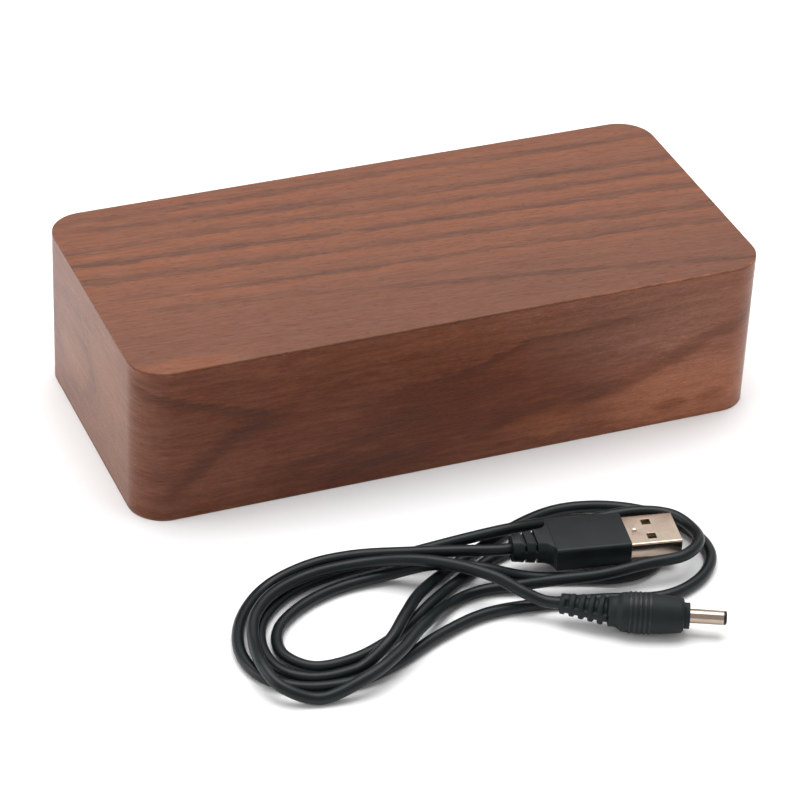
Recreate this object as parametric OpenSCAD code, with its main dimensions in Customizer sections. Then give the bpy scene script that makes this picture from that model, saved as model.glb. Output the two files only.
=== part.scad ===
// Wooden block clock with a display behind its front veneer, and its loose power cord lying in front.
// Lengths are in millimetres. X runs along the block, Y towards its rear, Z up from the table.

/* [Case] */
// Length of the block
case_l = 172; // [166:1:190]
// Depth of the block from front to rear
case_w = 80; // [78:1:96]
// Height of the block
case_h = 44.5; // [44:0.5:52]
// Radius of the four upright corners
corner_r = 9.4; // [4:0.2:14]
// Thickness of the wood veneer
veneer_t = 0.6; // [0.5:0.1:0.8]
// Front wall of the core behind its veneer
front_wall = 5; // [4.6:0.1:7]
// End walls of the core
end_wall = 7; // [6:0.5:9]
// Upper and lower walls of the core
deck_t = 5; // [4.5:0.1:5.2]
// Corner radius of the pocket
pocket_r = 3; // [2:0.2:4]
// Side of the square screw blocks in the pocket's corners
block_side = 8; // [7:0.2:8.4]
// Depth of the screw blocks
block_deep = 16; // [12:1:24]

/* [Display] */
// Length of the display window
window_l = 96; // [94:1:100]
// Height of the display window
window_h = 27; // [26:0.5:28]
// Height of a digit between its outer segments
digit_h = 19; // [17:0.5:20]
// Width of a digit between its upright segments
digit_w = 10.5; // [9:0.5:11]
// Width of one light segment
segment_w = 2.4; // [2:0.1:2.6]
// Gap between neighbouring segments
segment_gap = 1; // [0.6:0.1:1.4]
// Distance of the inner digits from the colon
inner_digit_x = 12.5; // [11:0.5:13]
// Distance of the outer digits from the colon
outer_digit_x = 33; // [31:0.5:36]
// Diameter of a colon dot
colon_d = 2.6; // [2:0.1:3]
// Distance of each colon dot from the middle
colon_z = 4.6; // [3:0.2:6]
// Thickness of the diffuser film
film_t = 0.2; // [0.1:0.05:0.4]
// Length of one light chip
led_l = 1.6; // [1.2:0.1:1.8]
// Width of one light chip
led_w = 0.8; // [0.6:0.1:1]
// Height of one light chip
led_h = 0.6; // [0.4:0.1:1]
// Length of the display board
display_board_l = 118; // [116:1:124]

/* [Rear panel] */
// Thickness of the rear panel
panel_t = 2.4; // [2.2:0.1:3]
// Depth of the panel's face inside the wood
panel_inset = 1; // [0.6:0.1:1.6]
// Diameter of a panel screw's head
panel_head_d = 4.6; // [4:0.1:5]
// Height of a panel screw's head
panel_head_t = 1.1; // [0.8:0.1:1.3]
// Diameter of a panel screw's shank
panel_shank_d = 2.4; // [2:0.1:2.8]
// Length of a panel screw's shank under its head
panel_shank_l = 9; // [7:0.5:11]
// Width of a screw's cross slot
cross_w = 0.6; // [0.5:0.1:0.8]
// Depth of a screw's cross slot
cross_deep = 0.6; // [0.4:0.1:0.7]
// Diameter of one sound hole
sound_hole_d = 1.3; // [1:0.1:1.6]
// Distance of the sound holes from their middle
sound_ring_r = 3; // [2.4:0.1:3.6]
// Length of one vent slot
vent_l = 7; // [5:0.5:8]
// Width of one vent slot
vent_w = 1.1; // [0.8:0.1:1.3]

/* [Buttons] */
// Diameter of a push button
button_d = 7.6; // [6.6:0.2:8.2]
// Distance between neighbouring buttons
button_pitch = 13; // [12:0.1:13.4]
// Height of a button above the panel
button_proud = 1; // [0.9:0.1:1.6]
// Travel of a button
button_travel = 0.8; // [0.5:0.1:0.8]
// Width of a button's flange round its edge
flange_w = 0.9; // [0.7:0.1:1]
// Thickness of a button's flange
flange_t = 0.9; // [0.7:0.1:1.2]
// Diameter of a button's stem
stem_d = 3; // [2.4:0.1:3.4]
// Bevel round a button's face
button_bevel = 0.3; // [0.2:0.1:0.5]
// Side of a tact switch
switch_side = 6.2; // [6:0.1:6.6]
// Height of a tact switch
switch_h = 3.6; // [3.4:0.1:4.2]

/* [Slide switch] */
// Travel of the lever
slider_travel = 3; // [2:0.1:3]
// Length of the lever
lever_l = 3.6; // [3.2:0.1:4]
// Width of the lever
lever_w = 2.2; // [1.8:0.1:2.4]
// Height of the lever above the panel
lever_proud = 1; // [0.8:0.1:1.4]
// Length of the switch can
can_l = 10.4; // [10:0.1:11]
// Width of the switch can
can_w = 5.2; // [5:0.1:5.6]
// Height of the switch can
can_h = 4.2; // [4.2:0.1:5]
// Wall of the switch can
can_wall = 0.6; // [0.4:0.1:0.6]

/* [Backup cell] */
// Diameter of the coin cell
cell_d = 20; // [19.6:0.1:20]
// Thickness of the coin cell
cell_t = 3.2; // [2.5:0.1:3.2]
// Diameter of the cap's disc
cap_d = 25; // [24.6:0.1:25.6]
// Thickness of the cap's disc
cap_disc_t = 1.2; // [1:0.1:1.3]
// Wall of the cap's skirt
skirt_wall = 1.2; // [1:0.1:1.6]
// Reach of each locking tab past the skirt
tab_reach = 1.4; // [1:0.1:1.5]
// Width of each locking tab
tab_w = 5; // [4:0.2:5.6]
// Thickness of each locking tab
tab_t = 1.2; // [0.8:0.1:1.4]
// Turn between the locked and the open position
cap_turn = 55; // [45:5:70]
// Length of the coin slot
coin_l = 14; // [12:0.5:16]
// Width of the coin slot
coin_w = 1.8; // [1.6:0.1:2.2]
// Depth of the coin slot
coin_deep = 0.7; // [0.5:0.1:0.7]
// Wall of the cell's tub
tub_wall = 1.2; // [1:0.1:1.4]
// Thickness of the contact springs
leaf_t = 0.3; // [0.2:0.05:0.3]
// Diameter of the lower contact
leaf_d = 9; // [7:0.5:12]

/* [Boards] */
// Gap between the main board's ends and the screw blocks
board_end_gap = 4.4; // [2:0.2:6]
// Height of the main board
main_board_h = 27; // [26.6:0.2:29]
// Thickness of both circuit boards
board_t = 1.6; // [1.4:0.1:1.8]
// Distance of the main board from the panel
standoff = 10.6; // [10.4:0.1:12]
// Diameter of a board post
post_d = 5; // [4.6:0.1:5.2]
// Diameter of a board screw's head
board_head_d = 3.6; // [3.2:0.1:4]
// Height of a board screw's head
board_head_t = 1.3; // [1:0.1:1.6]
// Diameter of a board screw's shank
board_shank_d = 2; // [1.8:0.1:2.2]
// Length of a board screw's shank under its head
board_shank_l = 5; // [4:0.2:5.6]
// Length of the clock chip
chip_l = 18; // [16:0.5:20]
// Width of the clock chip
chip_w = 7.5; // [6:0.5:8]
// Height of the chips
chip_h = 2.4; // [2:0.1:2.6]
// Length of the display driver chip
driver_l = 15.4; // [13:0.2:17]
// Diameter of the buzzer
buzzer_d = 12; // [11:0.5:12.5]
// Height of the buzzer
buzzer_h = 8.4; // [7:0.2:8.6]
// Diameter of the buzzer's sound opening
buzzer_hole_d = 2.4; // [2:0.1:3]
// Diameter of the microphone
mic_d = 6; // [4:0.2:6.2]
// Height of the microphone
mic_h = 2.8; // [2:0.1:4]
// Diameter of the temperature sensor's bead
bead_d = 3; // [2.4:0.1:3.2]
// Diameter of the clock crystal
crystal_d = 2.1; // [2:0.1:3]
// Length of the clock crystal
crystal_l = 6.2; // [6:0.2:8]
// Diameter of the capacitor
capacitor_d = 6.3; // [5:0.1:6.3]
// Height of the capacitor
capacitor_h = 7.6; // [6:0.2:9]
// Width of the ribbon cable
ribbon_w = 12; // [10:0.5:14]
// Thickness of the ribbon cable
ribbon_t = 0.9; // [0.6:0.1:1.1]
// Sideways sway of the ribbon cable
ribbon_sway = 6; // [4:0.5:8]
// Height of a ribbon plug
ribbon_plug_h = 6; // [5:0.2:7]
// Thickness of a ribbon plug
ribbon_plug_t = 5.4; // [4.6:0.1:6]

/* [Power socket] */
// Width of the socket's body
socket_w = 9; // [8.6:0.1:9.6]
// Height of the socket's body
socket_h = 9.6; // [9:0.1:10.4]
// Diameter of the socket's nose
socket_nose_d = 6.8; // [6.4:0.1:7.2]
// Depth of the socket's hole
socket_deep = 9.8; // [9.4:0.1:10]
// Diameter of the socket's centre pin
socket_pin_d = 1.3; // [1.2:0.05:1.3]

/* [Cord] */
// Diameter of the cord
cord_d = 3; // [2.6:0.1:3]

/* [USB plug] */
// Length of the moulded body
usb_body_l = 19; // [17:0.5:20]
// Width of the moulded body
usb_body_w = 14; // [13:0.2:14.4]
// Thickness of the moulded body
usb_body_t = 6.4; // [6.2:0.1:6.8]
// Rounding of the moulded body's long edges
usb_body_r = 0.8; // [0.6:0.1:2]
// Length of the bend relief
usb_relief_l = 10; // [9.5:0.5:12]
// Width of the bend relief at the cord
usb_relief_w0 = 6.2; // [5.8:0.1:6.2]
// Width of the bend relief at the body
usb_relief_w1 = 8.2; // [7.6:0.1:8.6]
// Thickness of the bend relief at the cord
usb_relief_t0 = 6; // [5.6:0.1:6]
// Thickness of the bend relief at the body
usb_relief_t1 = 6.2; // [6:0.1:6.2]
// Width of a groove in the bend relief
usb_groove_w = 0.6; // [0.4:0.1:0.9]
// Depth of a groove in the bend relief
usb_groove_deep = 0.7; // [0.5:0.1:0.8]
// Thickness of the web between the grooves' two halves
usb_web_t = 1.8; // [1.4:0.1:2.4]
// Width of the shell
shell_w = 12; // [11.9:0.1:12.1]
// Thickness of the shell
shell_t = 4.5; // [4.4:0.1:4.6]
// Length of the shell outside the body
shell_l = 13.2; // [11.8:0.2:13.6]
// Sheet thickness of the shell
shell_wall = 0.35; // [0.3:0.05:0.4]
// Side of the square latch holes
latch_side = 2.2; // [2:0.1:2.5]
// Distance between the latch holes
latch_pitch = 5.9; // [5:0.1:6.2]
// Thickness of the tongue
tongue_t = 1.84; // [1.8:0.01:1.9]
// Width of one contact strip
strip_w = 1; // [0.9:0.1:1.2]
// Length of one contact strip
strip_l = 8.4; // [7.4:0.2:9]

/* [Barrel plug] */
// Length of the bend relief
dc_relief_l = 11.8; // [11:0.2:13]
// Diameter of the bend relief's first rib
dc_rib_d0 = 5; // [4.8:0.1:5.4]
// Diameter of the bend relief's last rib
dc_rib_d1 = 7.5; // [6.8:0.1:7.6]
// Diameter of the bend relief between its first ribs
dc_core_d0 = 3.6; // [3.6:0.1:4]
// Diameter of the bend relief between its last ribs
dc_core_d1 = 5; // [4.6:0.1:5.4]
// Thickness of the web along both sides of the bend relief
dc_web_t = 1.5; // [1.2:0.1:2.4]
// Angle by which the bend relief is bent against the body
dc_bend = 9; // [0:1:12]
// Length of the moulded body
dc_body_l = 18.2; // [17:0.2:19]
// Largest diameter of the moulded body
dc_body_d = 10; // [9.6:0.1:10]
// Diameter of the moulded body behind its flare
dc_back_d = 9.6; // [9.2:0.1:9.6]
// Diameter of the moulded body at its nose
dc_front_d = 8.3; // [8:0.1:9]
// Diameter of the nose step
dc_nose_d = 6.4; // [6:0.1:7]
// Length of the nose step
dc_nose_l = 1.4; // [1:0.1:1.8]
// Height of the fine raised lines round the body
dc_line_h = 0.16; // [0.06:0.02:0.16]
// Diameter of the barrel
barrel_d = 3.5; // [3.4:0.05:3.6]
// Length of the barrel with its tip ring
barrel_l = 9; // [8.6:0.1:9.4]
// Length of the tip ring
tip_l = 0.7; // [0.5:0.1:0.9]
// Sheet thickness of the barrel
barrel_wall = 0.3; // [0.25:0.05:0.35]
// Diameter of the hole for the socket's pin
pin_hole_d = 1.4; // [1.35:0.05:1.45]
// Sheet thickness of the inner contact
sleeve_wall = 0.25; // [0.2:0.05:0.3]

/* [Fits] */
// Gap round the rear panel
panel_gap = 0.3; // [0.2:0.05:0.5]
// Gap between a moving piece and its neighbours
move_gap = 0.25; // [0.2:0.05:0.3]
// Gap on the radius round a screw's shank in its hole
thread_gap = 0.03; // [0.02:0.01:0.06]
// Gap round a loose insert
loose_gap = 0.2; // [0.1:0.05:0.3]
// Gap on the radius between nested sleeves
sleeve_gap = 0.02; // [0.01:0.01:0.05]

/* [Hidden] */
$fn = 48;
tiny = 0.01;
mid_z = case_h / 2;
inner_l = case_l - 2 * veneer_t;
inner_w = case_w - 2 * veneer_t;
inner_h = case_h - 2 * veneer_t;
inner_r = corner_r - veneer_t;
pocket_l = inner_l - 2 * end_wall;
pocket_h = inner_h - 2 * deck_t;
front_y = -inner_w / 2;
wall_y = front_y + front_wall;
display_rear_y = wall_y + board_t;
panel_out_y = case_w / 2 - panel_inset;
panel_in_y = panel_out_y - panel_t;
board_rear_y = panel_in_y - standoff;
board_front_y = board_rear_y - board_t;
panel_l = pocket_l - 2 * panel_gap;
panel_h = pocket_h - 2 * panel_gap;
panel_r = pocket_r - panel_gap;
screw_x = pocket_l / 2 - block_side / 2;
screw_z = pocket_h / 2 - block_side / 2;
panel_head_seat_d = panel_head_d + 2 * move_gap;
panel_clear_d = panel_shank_d + 2 * loose_gap;

// Where things stand along the main board, as shares of its length and height
main_board_l = pocket_l - 2 * block_side - 2 * board_end_gap;
button_mid_x = -0.045 * main_board_l;
button_xs = [button_mid_x - button_pitch, button_mid_x, button_mid_x + button_pitch];
slider_x = -0.28 * main_board_l;
socket_x = -0.417 * main_board_l;
cell_x = 0.348 * main_board_l;
buzzer_x = 0.174 * main_board_l;
mic_x = -0.212 * main_board_l;
mic_z = -0.3 * main_board_h;
bead_x = -0.333 * main_board_l;
bead_z = 0.33 * main_board_h;
capacitor_x = -0.345 * main_board_l;
capacitor_z = -0.31 * main_board_h;
vent_count = 3;
vent_gap = 1.3;
post_inset_x = 4.5;
post_inset_z = 3.5;
post_x = main_board_l / 2 - post_inset_x;
post_z = main_board_h / 2 - post_inset_z;

// Display layout
display_board_gap = 1.5;
display_board_h = pocket_h - 2 * display_board_gap;
display_screw_inset_x = 5;
display_screw_inset_z = 4.2;
display_screw_x = display_board_l / 2 - display_screw_inset_x;
display_screw_z = display_board_h / 2 - display_screw_inset_z;
digit_xs = [-outer_digit_x, -inner_digit_x, inner_digit_x, outer_digit_x];
reflector_t = front_wall - film_t;
side_segment_l = digit_h / 2 - segment_gap;
flat_segment_l = digit_w - segment_gap;
segment_spots = [
  [0, digit_h / 2, 0], [0, 0, 0], [0, -digit_h / 2, 0],
  [-digit_w / 2, digit_h / 4, 90], [digit_w / 2, digit_h / 4, 90],
  [-digit_w / 2, -digit_h / 4, 90], [digit_w / 2, -digit_h / 4, 90]
];

// Buttons and switches
button_face_y = panel_out_y + button_proud;
button_hole_d = button_d + 2 * move_gap;
flange_top_y = panel_in_y - move_gap;
flange_low_y = flange_top_y - flange_t;
switch_top_y = board_rear_y + switch_h;
stem_entry = 0.8;
stem_tip_y = switch_top_y - stem_entry;
well_deep = stem_entry + button_travel + move_gap;
well_d = stem_d + 2 * move_gap;

// Slide switch
lever_foot_l = lever_l + 2 * can_wall;
lever_foot_w = lever_w + 2 * can_wall;
lever_foot_t = 1.8;
lever_foot_y = board_rear_y + can_wall + move_gap;
lever_top_y = panel_out_y + lever_proud;
can_in_h = lever_foot_t + 2 * move_gap;
lever_groove_w = 0.5;

// Backup cell
cap_seat_d = cap_d + 2 * move_gap;
cap_low_y = panel_out_y - cap_disc_t;
cap_seat_y = cap_low_y - move_gap;
skirt_d = cell_d + 2 * move_gap;
skirt_hole_d = skirt_d + 2 * move_gap;
tab_zone_d = skirt_d + 2 * tab_reach + 2 * move_gap;
tab_top_y = panel_in_y - move_gap;
tab_low_y = tab_top_y - tab_t;
tab_floor_y = tab_low_y - move_gap;
cell_top_y = tab_floor_y - move_gap;
cell_low_y = cell_top_y - cell_t;
tub_in_y = cell_low_y - leaf_t;
tub_out_y = tub_in_y - tub_wall;
tub_d = tab_zone_d + 2 * tub_wall;
well_side_d = cell_d + 2 * move_gap;
leg_d = 1;
leg_hole_d = leg_d + 2 * loose_gap;
side_leaf_w = 4;

// Boards
pin_pitch = 1.27;
pin_w = 0.45;
pin_reach = 1.1;
pin_t = 1;
chip_x = -0.09 * main_board_l;
crystal_x = 0.06 * main_board_l;
crystal_z = 0.26 * main_board_h;
bead_h = 3.6;
lead_d = 0.5;
lead_spacing = 1.4;
ribbon_x = 0.23 * main_board_l;
ribbon_plug_end = 1;
ribbon_plug_l = ribbon_w + 2 * ribbon_plug_end;
ribbon_y0 = display_rear_y + ribbon_plug_h;
ribbon_y1 = board_front_y - ribbon_plug_h;
ribbon_steps = 24;

// Power socket
socket_out_y = panel_out_y - move_gap;
socket_body_y = panel_in_y - move_gap;
socket_hole_d = barrel_d + 2 * loose_gap;
socket_pin_back = 1;
socket_pin_l = socket_deep - socket_pin_back;

// Cord: the points its middle passes, from the USB plug to the barrel plug
cord_rest_z = 1.6;
cord_sides = 6;
cord_steps = 3;
cord_skip = 5;
route = [
  [-5, -87, 7], [-9, -86.3, 7], [-17, -83, 6.4], [-28, -78.5, 5.4], [-42, -75.2, 5.4],
  [-54, -74.2, 4.4], [-65.5, -76, 1.8], [-75, -85.5, 1.6], [-79.5, -97, 1.6], [-78, -107.5, 1.6],
  [-70, -115, 1.6], [-58, -116.9, 1.6], [-46, -113.8, 1.6], [-32, -107, 1.6], [-18, -102.8, 1.6],
  [-3, -103.8, 1.6], [12, -107, 1.6], [26, -110.5, 1.6], [37.5, -107, 1.6], [44.5, -99, 1.6],
  [44.5, -89, 1.6], [38.5, -78.5, 1.6], [28, -71.5, 1.6], [15.5, -69, 1.6], [3, -72, 1.6],
  [-9.5, -78, 1.6], [-21, -84, 1.6], [-31.5, -92.6, 3.7], [-39, -101.5, 5.4], [-46, -108.9, 4.8],
  [-55, -112.6, 1.7], [-66, -112.7, 1.6], [-73, -107, 1.6], [-74, -97, 1.6], [-70, -87.5, 1.6],
  [-61, -80, 1.6], [-49.5, -76.3, 1.6], [-36, -75, 1.6], [-23.5, -75, 2.6], [-11, -77, 5],
  [0, -77, 5.2], [12, -75, 2.8], [23, -76, 1.6], [31.5, -82.5, 1.6], [34, -91, 1.6],
  [29, -98.5, 1.6], [19, -100, 1.6], [8, -96.5, 1.6], [-3, -92.8, 2], [-14.5, -89.5, 5.2],
  [-25, -85, 5.5], [-36, -81.5, 2.4], [-48, -81.5, 1.6], [-59.5, -85.5, 1.6], [-68, -92.5, 1.6],
  [-70.3, -101.5, 1.6], [-65, -108.6, 1.6], [-55, -108.9, 1.6], [-45, -105.3, 1.6], [-36.5, -100, 1.6],
  [-27.5, -93.5, 1.6], [-17.5, -87.5, 1.6], [-5.5, -81.8, 1.6], [8, -79.5, 2], [20, -79.5, 4.6],
  [32, -80.5, 5.2], [40, -84.5, 5.2], [42.5, -92, 5.4], [40.8, -98.8, 6.4], [34.5, -103, 6.6],
  [25, -102.3, 6], [13, -101.8, 5.2], [2, -99.5, 4.6], [-7.5, -95.5, 2.2], [-16, -94, 1.6],
  [-25.5, -97, 1.8], [-36, -106, 5], [-45, -114, 5.4], [-55, -119.6, 4.8], [-67, -120.2, 1.6],
  [-75.5, -116.5, 4], [-78, -109, 5.6], [-76.5, -98.5, 4.6], [-73, -89.5, 4.9], [-65.5, -82.5, 5.2],
  [-54, -78.7, 5.4], [-41, -79, 5.6], [-30.5, -84.5, 8], [-22, -91, 9], [-14.5, -98.2, 8.8],
  [-9.3, -103.4, 6.8], [-5.1, -106.6, 5.2], [-1.35, -109.1, 5.2]
];
last = len(route) - 1;
start_way = route[1] - route[0];
end_way = route[last] - route[last - 1];
usb_turn = atan2(-start_way.y, -start_way.x);
dc_turn = atan2(end_way.y, end_way.x);

// Smooth curve through four neighbouring points
function blend(a, b, c, d, t) =
  (2 * b + (c - a) * t + (2 * a - 5 * b + 4 * c - d) * t * t + (3 * b - a - 3 * c + d) * t * t * t) / 2;
function unit(v) = v / norm(v);
guide = concat([route[0] - start_way], route, [route[last] + end_way]);
raw_line = [
  for (i = [0 : last - 1], k = [0 : cord_steps - 1])
    blend(guide[i], guide[i + 1], guide[i + 2], guide[i + 3], k / cord_steps)
];
line = concat([for (p = raw_line) [p.x, p.y, max(p.z, cord_rest_z)]], [route[last]]);
rings = len(line);
function way(i) =
  i == 0 ? unit(start_way) : i == rings - 1 ? unit(end_way) : unit(line[i + 1] - line[i - 1]);
function ring(i) =
  let (t = way(i), side = unit(cross(t, [0, 0, 1])), up = cross(side, t))
  [for (k = [0 : cord_sides - 1])
    let (a = 360 * k / cord_sides)
    line[i] + cord_d / 2 * (cos(a) * side + sin(a) * up)];
cord_length = norm_sum(rings - 1);
function norm_sum(i) = i == 0 ? 0 : norm(line[i] - line[i - 1]) + norm_sum(i - 1);
cord_gap = min([
  for (i = [0 : rings - 1], j = [i + cord_skip : 1 : rings - 1]) norm(line[i] - line[j])
]) - cord_d;
echo(cord_gap = cord_gap, cord_length = cord_length);

// USB plug, drawn along X from the cord's end
usb_shell_x = usb_relief_l + usb_body_l;
groove_xs = [2.7, 5.4];
usb_flare_r = (usb_body_w - usb_relief_w1) / 2;
usb_taper_l = usb_relief_l - usb_flare_r;
usb_round = usb_groove_deep / 4;
latch_reach = 6;
dimple_reach = 2.3;
latch_x = usb_shell_x + latch_reach;
dimple_r = 1.2;
dimple_deep = 0.15;
shell_r = 0.5;
tongue_l = shell_l - 1;
tongue_top = -shell_t / 2 + shell_wall + sleeve_gap + tongue_t;
strip_t = 0.15;
strip_spacing = 2.3;

// Barrel plug, drawn along X from the cord's end
rib_count = 5;
rib_pitch = dc_relief_l / rib_count;
rib_w = rib_pitch * 0.56;
rib_edge = 0.25;
line_count = 5;
line_pitch = 1.2;
line_w = 0.5;
line_start = 4.9;
tip_inset = 0.05;
tip_edge = 0.2;
bridge_w = 2.2;
bridged_gaps = [0];
dc_collar_l = 1.5;
dc_flare = 3.4;
dc_belly = 7.4;
belly_steps = 6;
dc_edge = 0.4;
dc_nose_x = dc_body_l;
barrel_x = dc_nose_x + dc_nose_l;
barrel_in_d = barrel_d - 2 * barrel_wall;
tip_d = barrel_d - 2 * tip_inset;
sleeve_d = pin_hole_d + 2 * sleeve_wall;
liner_d = barrel_in_d - 2 * sleeve_gap;
liner_in_d = sleeve_d + 2 * sleeve_gap;

// Colours
veneer_colour = [0.36, 0.2, 0.12];
core_colour = [0.62, 0.47, 0.32];
black_colour = [0.05, 0.05, 0.055];
grey_colour = [0.2, 0.2, 0.21];
white_colour = [0.9, 0.9, 0.88];
board_colour = [0.07, 0.27, 0.14];
metal_colour = [0.75, 0.74, 0.71];
brass_colour = [0.8, 0.63, 0.3];

// Flat shape with round corners, centred
module round_rect(l, w, r) {
  square([l - 2 * r, w], center = true);
  square([l, w - 2 * r], center = true);
  for (x = [-1, 1], y = [-1, 1])
    translate([x * (l / 2 - r), y * (w / 2 - r)])
      circle(r);
}

// Turns a shape drawn upright so that it points to the rear
module to_rear(x, y, z) {
  translate([x, y, mid_z + z])
    rotate([-90, 0, 0])
      children();
}

// Turns a shape drawn upright so that it points along X
module along_x(x) {
  translate([x, 0, 0])
    rotate([90, 0, 90])
      children();
}

module block(l, w, h, r, z) {
  translate([0, 0, z])
    linear_extrude(h)
      round_rect(l, w, r);
}

module pocket_mouth() {
  to_rear(0, panel_in_y, 0)
    linear_extrude(case_w)
      round_rect(pocket_l, pocket_h, pocket_r);
}

module pocket() {
  difference() {
    to_rear(0, wall_y, 0)
      linear_extrude(case_w)
        round_rect(pocket_l, pocket_h, pocket_r);
    for (x = [-1, 1], z = [-1, 1])
      translate([x * pocket_l / 2, panel_in_y - block_deep / 2, mid_z + z * pocket_h / 2])
        cube([2 * block_side, block_deep, 2 * block_side], center = true);
  }
}

module case_core() {
  color(core_colour)
    difference() {
      block(inner_l, inner_w, inner_h, inner_r, veneer_t);
      pocket();
      to_rear(0, -case_w / 2, 0)
        linear_extrude(case_w / 2)
          square([window_l, window_h], center = true);
      for (x = [-1, 1], z = [-1, 1])
        to_rear(x * screw_x, panel_out_y - panel_head_t - panel_shank_l - loose_gap, z * screw_z)
          cylinder(d = panel_shank_d + 2 * thread_gap, h = panel_shank_l + panel_t);
      for (x = [-1, 1], z = [-1, 1])
        to_rear(x * display_screw_x, display_rear_y - board_shank_l - loose_gap, z * display_screw_z)
          cylinder(d = board_shank_d + 2 * thread_gap, h = board_shank_l + board_t);
    }
}

module top_veneer() {
  color(veneer_colour)
    block(case_l, case_w, veneer_t, corner_r, case_h - veneer_t);
}

module bottom_veneer() {
  color(veneer_colour)
    block(case_l, case_w, veneer_t, corner_r, 0);
}

module side_veneer() {
  color(veneer_colour)
    difference() {
      block(case_l, case_w, inner_h, corner_r, veneer_t);
      block(inner_l, inner_w, case_h, inner_r, 0);
      pocket_mouth();
    }
}

module diffuser_film() {
  color(white_colour)
    to_rear(0, front_y, 0)
      linear_extrude(film_t)
        square([window_l - 2 * loose_gap, window_h - 2 * loose_gap], center = true);
}

module segment_shape(l) {
  polygon([
    [-l / 2, 0], [(segment_w - l) / 2, segment_w / 2], [(l - segment_w) / 2, segment_w / 2],
    [l / 2, 0], [(l - segment_w) / 2, -segment_w / 2], [(segment_w - l) / 2, -segment_w / 2]
  ]);
}

module digit_reflector() {
  color(grey_colour)
    to_rear(0, front_y + film_t, 0)
      linear_extrude(reflector_t)
        difference() {
          square([window_l - 2 * loose_gap, window_h - 2 * loose_gap], center = true);
          for (x = digit_xs, s = segment_spots)
            translate([x + s[0], s[1]])
              rotate(s[2])
                segment_shape(s[2] == 0 ? flat_segment_l : side_segment_l);
          for (y = [-1, 1])
            translate([0, y * colon_z])
              circle(d = colon_d);
        }
}

module led_chip() {
  linear_extrude(led_h)
    square([led_l, led_w], center = true);
}

module display_leds() {
  color(white_colour)
    to_rear(0, wall_y - led_h, 0) {
      for (x = digit_xs, s = segment_spots)
        translate([x + s[0], s[1]])
          rotate(s[2])
            led_chip();
      for (y = [-1, 1])
        translate([0, y * colon_z])
          led_chip();
    }
}

module display_board() {
  color(board_colour)
    to_rear(0, wall_y, 0)
      linear_extrude(board_t)
        difference() {
          square([display_board_l, display_board_h], center = true);
          for (x = [-1, 1], y = [-1, 1])
            translate([x * display_screw_x, y * display_screw_z])
              circle(d = board_shank_d + 2 * thread_gap);
        }
}

// Flat chip with a row of pins down each long side, standing on z = 0
module chip(l, w) {
  linear_extrude(chip_h)
    square([l, w], center = true);
  pins = floor((l - pin_w) / pin_pitch);
  for (y = [-1, 1], i = [0 : pins])
    translate([(i - pins / 2) * pin_pitch - pin_w / 2, y * (w + pin_reach) / 2 - pin_reach / 2, 0])
      cube([pin_w, pin_reach, pin_t]);
}

module display_driver() {
  color(grey_colour)
    to_rear(0, display_rear_y, 0)
      chip(driver_l, chip_w);
}

// Screw with a flat cross-slotted head; its shank's end stands on z = 0
module screw(shank_d, shank_l, head_d, head_t) {
  cylinder(d = shank_d, h = shank_l + tiny);
  translate([0, 0, shank_l])
    difference() {
      cylinder(d = head_d, h = head_t);
      for (a = [0, 90])
        rotate(a)
          translate([-head_d * 0.3, -cross_w / 2, head_t - cross_deep])
            cube([head_d * 0.6, cross_w, head_t]);
    }
}

module display_screws() {
  color(metal_colour)
    for (x = [-1, 1], z = [-1, 1])
      to_rear(x * display_screw_x, display_rear_y - board_shank_l, z * display_screw_z)
        screw(board_shank_d, board_shank_l, board_head_d, board_head_t);
}

module panel_screws() {
  color(metal_colour)
    for (x = [-1, 1], z = [-1, 1])
      to_rear(x * screw_x, panel_out_y - panel_head_t - panel_shank_l, z * screw_z)
        screw(panel_shank_d, panel_shank_l, panel_head_d, panel_head_t);
}

module board_screws() {
  color(metal_colour)
    for (x = [-1, 1], z = [-1, 1])
      translate([x * post_x, board_front_y + board_shank_l, mid_z + z * post_z])
        rotate([90, 0, 0])
          screw(board_shank_d, board_shank_l, board_head_d, board_head_t);
}

// Everything cut out of the panel for the backup cell
module cell_cuts() {
  to_rear(cell_x, cap_seat_y, 0)
    cylinder(d = cap_seat_d, h = panel_t);
  to_rear(cell_x, tab_floor_y, 0)
    cylinder(d = skirt_hole_d, h = panel_out_y - tab_floor_y);
  to_rear(cell_x, tab_floor_y, 0)
    cylinder(d = tab_zone_d, h = panel_in_y - tab_floor_y);
  to_rear(cell_x, tub_in_y, 0)
    cylinder(d = well_side_d, h = panel_in_y - tub_in_y);
  to_rear(cell_x, tab_floor_y, 0)
    rotate(cap_turn)
      translate([-tab_zone_d / 2, -tab_w / 2 - move_gap, 0])
        cube([tab_zone_d, tab_w + 2 * move_gap, panel_out_y - tab_floor_y]);
  to_rear(cell_x, board_rear_y, 0)
    cylinder(d = leg_hole_d, h = standoff);
  translate([cell_x - side_leaf_w / 2 - loose_gap, tub_out_y - tub_wall, mid_z])
    cube([
      side_leaf_w + 2 * loose_gap,
      cell_top_y - tub_out_y + tub_wall,
      cell_d / 2 + leaf_t + 2 * loose_gap
    ]);
}

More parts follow.
